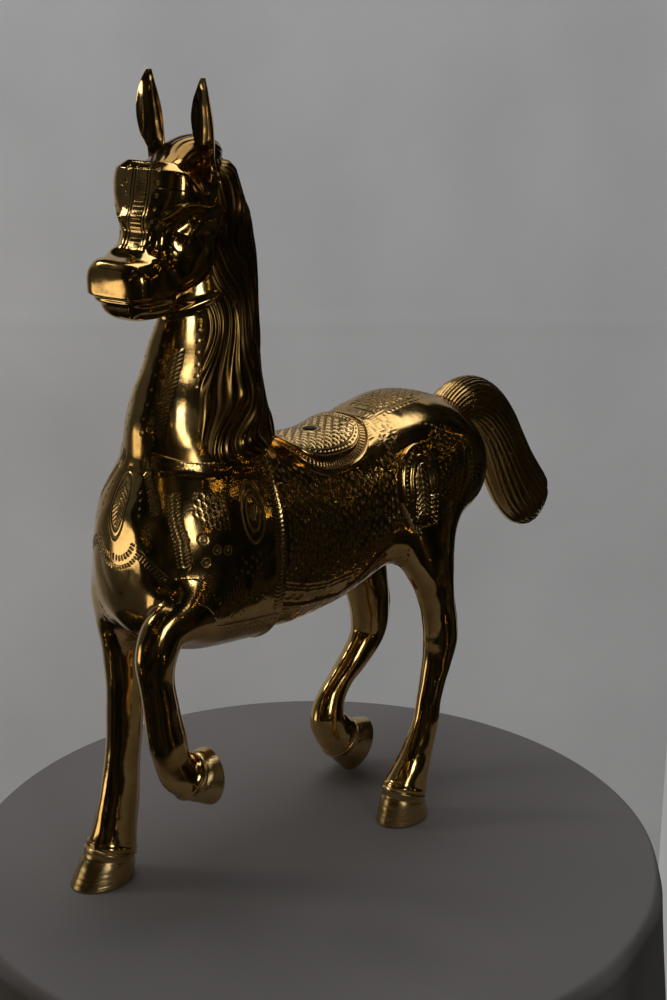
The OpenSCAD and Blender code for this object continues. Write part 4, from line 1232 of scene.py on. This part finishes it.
def plainCloth(name, colour, roughness, weave):
    # plain cotton: a faint weave and slow changes of tone
    material, tree, shader = newMaterial(name)
    where = addNode(tree, "ShaderNodeTexCoord").outputs["Object"]
    soft = addNode(tree, "ShaderNodeTexNoise", {"Scale": 5.0, "Detail": 4.0}, Vector=where).outputs["Fac"]
    base = hexColour(colour)[:3]
    tone = mixTones(tree, soft, [0.88 * c for c in base] + [1], [min(1.12 * c, 1) for c in base] + [1])
    tree.links.new(tone, shader.inputs["Base Color"])
    shader.inputs["Roughness"].default_value = roughness
    threads = addNode(tree, "ShaderNodeTexNoise", {"Scale": weave, "Detail": 2.0},
                      Vector=where).outputs["Fac"]
    bump = addNode(tree, "ShaderNodeBump", {"Strength": 0.25, "Distance": 0.0006}, Height=threads)
    tree.links.new(bump.outputs["Normal"], shader.inputs["Normal"])
    return material


def litSheet(look):
    # the pale sheet with daylight coming through it; from behind it is clear, so it hides nothing
    material = plainCloth("paleSheet", look["wall"], 0.9, 700)
    tree = material.node_tree
    shader = tree.nodes["Principled BSDF"]
    shade = addNode(tree, "ShaderNodeAttribute", {"attribute_name": "shade"}).outputs["Fac"]
    tone = shader.inputs["Base Color"].links[0].from_socket
    shaded = addNode(tree, "ShaderNodeVectorMath", {"operation": "SCALE", "Scale": 1.0}, i0=tone, Scale=shade)
    tree.links.new(shaded.outputs[0], shader.inputs["Base Color"])
    tree.links.new(shaded.outputs[0], shader.inputs["Emission Color"])
    shader.inputs["Emission Strength"].default_value = look["glow"]
    back = addNode(tree, "ShaderNodeNewGeometry").outputs["Backfacing"]
    clear = addNode(tree, "ShaderNodeBsdfTransparent")
    either = addNode(tree, "ShaderNodeMixShader", i0=back, i1=shader.outputs[0], i2=clear.outputs[0])
    tree.links.new(either.outputs[0], tree.nodes["Material Output"].inputs["Surface"])
    return material


def addSheet(name, grid, material, shade=None):
    # an open stage surface from a grid of points in metres
    rows, cols = grid.shape[:2]
    i, j = np.meshgrid(np.arange(rows - 1), np.arange(cols - 1), indexing="ij")
    k = (i * cols + j).ravel()
    mesh = bpy.data.meshes.new(name)
    mesh.from_pydata(grid.reshape(-1, 3).tolist(), [],
                     np.stack([k, k + 1, k + cols + 1, k + cols], -1).tolist())
    mesh.polygons.foreach_set("use_smooth", np.ones(len(mesh.polygons), bool))
    if shade is not None:
        layer = mesh.attributes.new("shade", "FLOAT", "POINT")
        layer.data.foreach_set("value", shade.astype(np.float32).ravel())
    mesh.materials.append(material)
    addObject(name, mesh)


def addStage(look):
    # a round table under a cloth that falls in folds, and behind it a pale sheet in slow folds
    turn = np.linspace(0, 2 * math.pi, 361)[None]
    r = np.concatenate([np.linspace(0.0, 0.97, 30), np.linspace(0.975, 1.0, 8), np.full(30, 1.0)])[:, None]
    fall = np.concatenate([np.zeros(30), np.linspace(0, 1, 8)**2 * 0.012,
                           np.linspace(0.014, look["skirt"], 30)])
    fall = fall[:, None]
    folds = 1 + 0.07 * np.clip(fall / 0.2, 0, 1) * np.sin(14 * turn + 0.8 * np.sin(3 * turn))
    x = look["tableMiddle"][0] + look["tableRadius"] * r * folds * np.cos(turn)
    y = look["tableMiddle"][1] + look["tableRadius"] * r * folds * np.sin(turn)
    table = np.stack([x, y, -fall - 0.0004 + 0 * turn], -1)
    addSheet("tableCloth", table, plainCloth("paleFloor", look["cloth"], 0.9, 900))
    heading = math.radians(cameraLook["heading"])
    away = np.array([-math.sin(heading), math.cos(heading), 0])
    right = np.array([math.cos(heading), math.sin(heading), 0])
    # in plan the sheet runs straight behind the horse, then bends round its far side; travel is along it
    travel = np.linspace(look["wallLeft"] + 2.2, -look["wallRight"], 420)
    bend = np.clip(travel - look["wallLeft"], 0, None) / look["wallBend"]
    side = -np.minimum(travel, look["wallLeft"]) - look["wallBend"] * np.sin(bend)
    back = look["wallBack"] - look["wallBend"] * (1 - np.cos(bend))
    fold = 0.004 * np.sin(9 * travel + 1.5 * np.sin(2.1 * travel)) + 0.0012 * np.sin(34 * travel)
    up = np.linspace(-0.9, look["wallTop"], 180)[:, None]
    crease = 0.0016 * np.exp(-((up - 0.235) / 0.0035)**2) - 0.0016 * np.exp(-((travel - 0.06) / 0.0035)**2)
    back = back - fold - crease
    wall = away * back[..., None] + right * (side + 0 * up)[..., None]
    wall[..., 2] += up
    shade = 1.0 + look["leftLift"] * smoothStep(travel, 0.2, 0.8)
    shade = shade - (shade - look["farShade"]) * smoothStep(travel, 0.85, 2.1)
    addSheet("backSheet", wall, litSheet(look), shade + 0 * up)


lightLook = {
    "shadows": [(0.38, "#070806"), (0.52, "#11120F"), (0.62, "#231D15"), (0.72, "#403E3A")],
    "surround": "#9A9A98",
    "bulbCells": 13.0, "bulbSize": 0.09, "bulbShare": 0.14,
    "bulb": 13.0,  # times as bright as its colour
    "overhead": 26, "window": 5.0, "farWindow": 4.0, "doorway": 1.8, "glint": 0.5,
}


def addArea(name, place, target, size, power, colour):
    # a glowing oblong at a place, turned to face the target
    data = bpy.data.lights.new(name, "AREA")
    data.shape = "RECTANGLE"
    data.size, data.size_y = size
    data.energy = power
    data.color = hexColour(colour)[:3]
    lamp = addObject(name, data)
    lamp.location = place
    aim = np.array(target, float) - np.array(place, float)
    lamp.rotation_euler = (math.atan2(aim[2], math.hypot(aim[0], aim[1])) + math.pi / 2, 0,
                           math.atan2(aim[1], aim[0]) - math.pi / 2)


def addGlint(name, place, radius, power, colour):
    # a small warm bulb far off in the room, seen only as a spark in the metal
    data = bpy.data.lights.new(name, "POINT")
    data.shadow_soft_size = radius
    data.energy = power
    data.color = hexColour(colour)[:3]
    addObject(name, data).location = place


def roomAround(look):
    # a dim room of brown and grey shadows with warm bulbs, which the metal mirrors; seen straight, pale
    world = bpy.data.worlds.new("room")
    world.use_nodes = True
    tree = world.node_tree
    way = addNode(tree, "ShaderNodeTexCoord").outputs["Generated"]
    shadows = addNode(tree, "ShaderNodeTexNoise", {"Scale": 3.2, "Detail": 3.0, "Roughness": 0.6}, Vector=way)
    tone = addNode(tree, "ShaderNodeValToRGB", Fac=shadows.outputs["Fac"])
    fillRamp(tone, look["shadows"])
    cells = addNode(tree, "ShaderNodeTexVoronoi", {"Scale": look["bulbCells"]}, Vector=way)
    close = addNode(tree, "ShaderNodeMath", {"operation": "LESS_THAN", 1: look["bulbSize"]},
                    i0=cells.outputs["Distance"])
    pick = addNode(tree, "ShaderNodeSeparateColor", i0=cells.outputs["Color"]).outputs[0]
    chosen = addNode(tree, "ShaderNodeMath", {"operation": "LESS_THAN", 1: look["bulbShare"]}, i0=pick)
    lit = addNode(tree, "ShaderNodeMath", {"operation": "MULTIPLY"}, i0=close.outputs[0],
                  i1=chosen.outputs[0])
    glow = [look["bulb"] * c for c in hexColour("#FFD98A")[:3]] + [1]
    room = tree.nodes["Background"]
    tree.links.new(mixTones(tree, lit.outputs[0], tone.outputs["Color"], glow), room.inputs["Color"])
    plain = addNode(tree, "ShaderNodeBackground", {"Color": hexColour(look["surround"])})
    straight = addNode(tree, "ShaderNodeLightPath").outputs["Is Camera Ray"]
    both = addNode(tree, "ShaderNodeMixShader", i0=straight, i1=room.outputs[0], i2=plain.outputs[0])
    tree.links.new(both.outputs[0], tree.nodes["World Output"].inputs["Surface"])
    return world


def lightUp(look):
    # dim room, weak light from above, a window on each side, a doorway low in front and a few bulbs
    bpy.context.scene.world = roomAround(look)
    addArea("overhead", (-0.3, 0.2, 2.6), (-0.3, 0.3, 0), (2.0, 2.0), look["overhead"], "#F6F7FF")
    addArea("window", (2.25, -0.75, 0.85), (0, 0, 0.3), (0.5, 0.62), look["window"], "#F1F5FF")
    addArea("farWindow", (-1.45, -1.15, 1.55), (0, 0, 0.4), (0.42, 0.42), look["farWindow"], "#F4F4F2")
    addArea("doorway", (-0.98, -1.45, 0.0), (0, -0.24, 0.48), (0.75, 0.5), look["doorway"], "#FFF3DC")
    places = [(2.9, -0.6, 1.5), (2.6, 0.6, 2.0), (2.2, -2.9, 2.1), (3.2, 0.2, 0.9), (1.2, -3.1, 2.3),
              (3.0, 1.4, 1.4), (3.1, -1.5, 0.6), (2.4, 1.9, 0.7), (3.4, 0.9, 1.9), (2.8, -2.0, 1.2)]
    for k, place in enumerate(places):
        addGlint("bulb" + str(k), place, 0.035, look["glint"], "#FFD873")


addStage(stageLook)
lightUp(lightLook)
bpy.context.scene.view_settings.view_transform = "Standard"
print("stage and lights set")
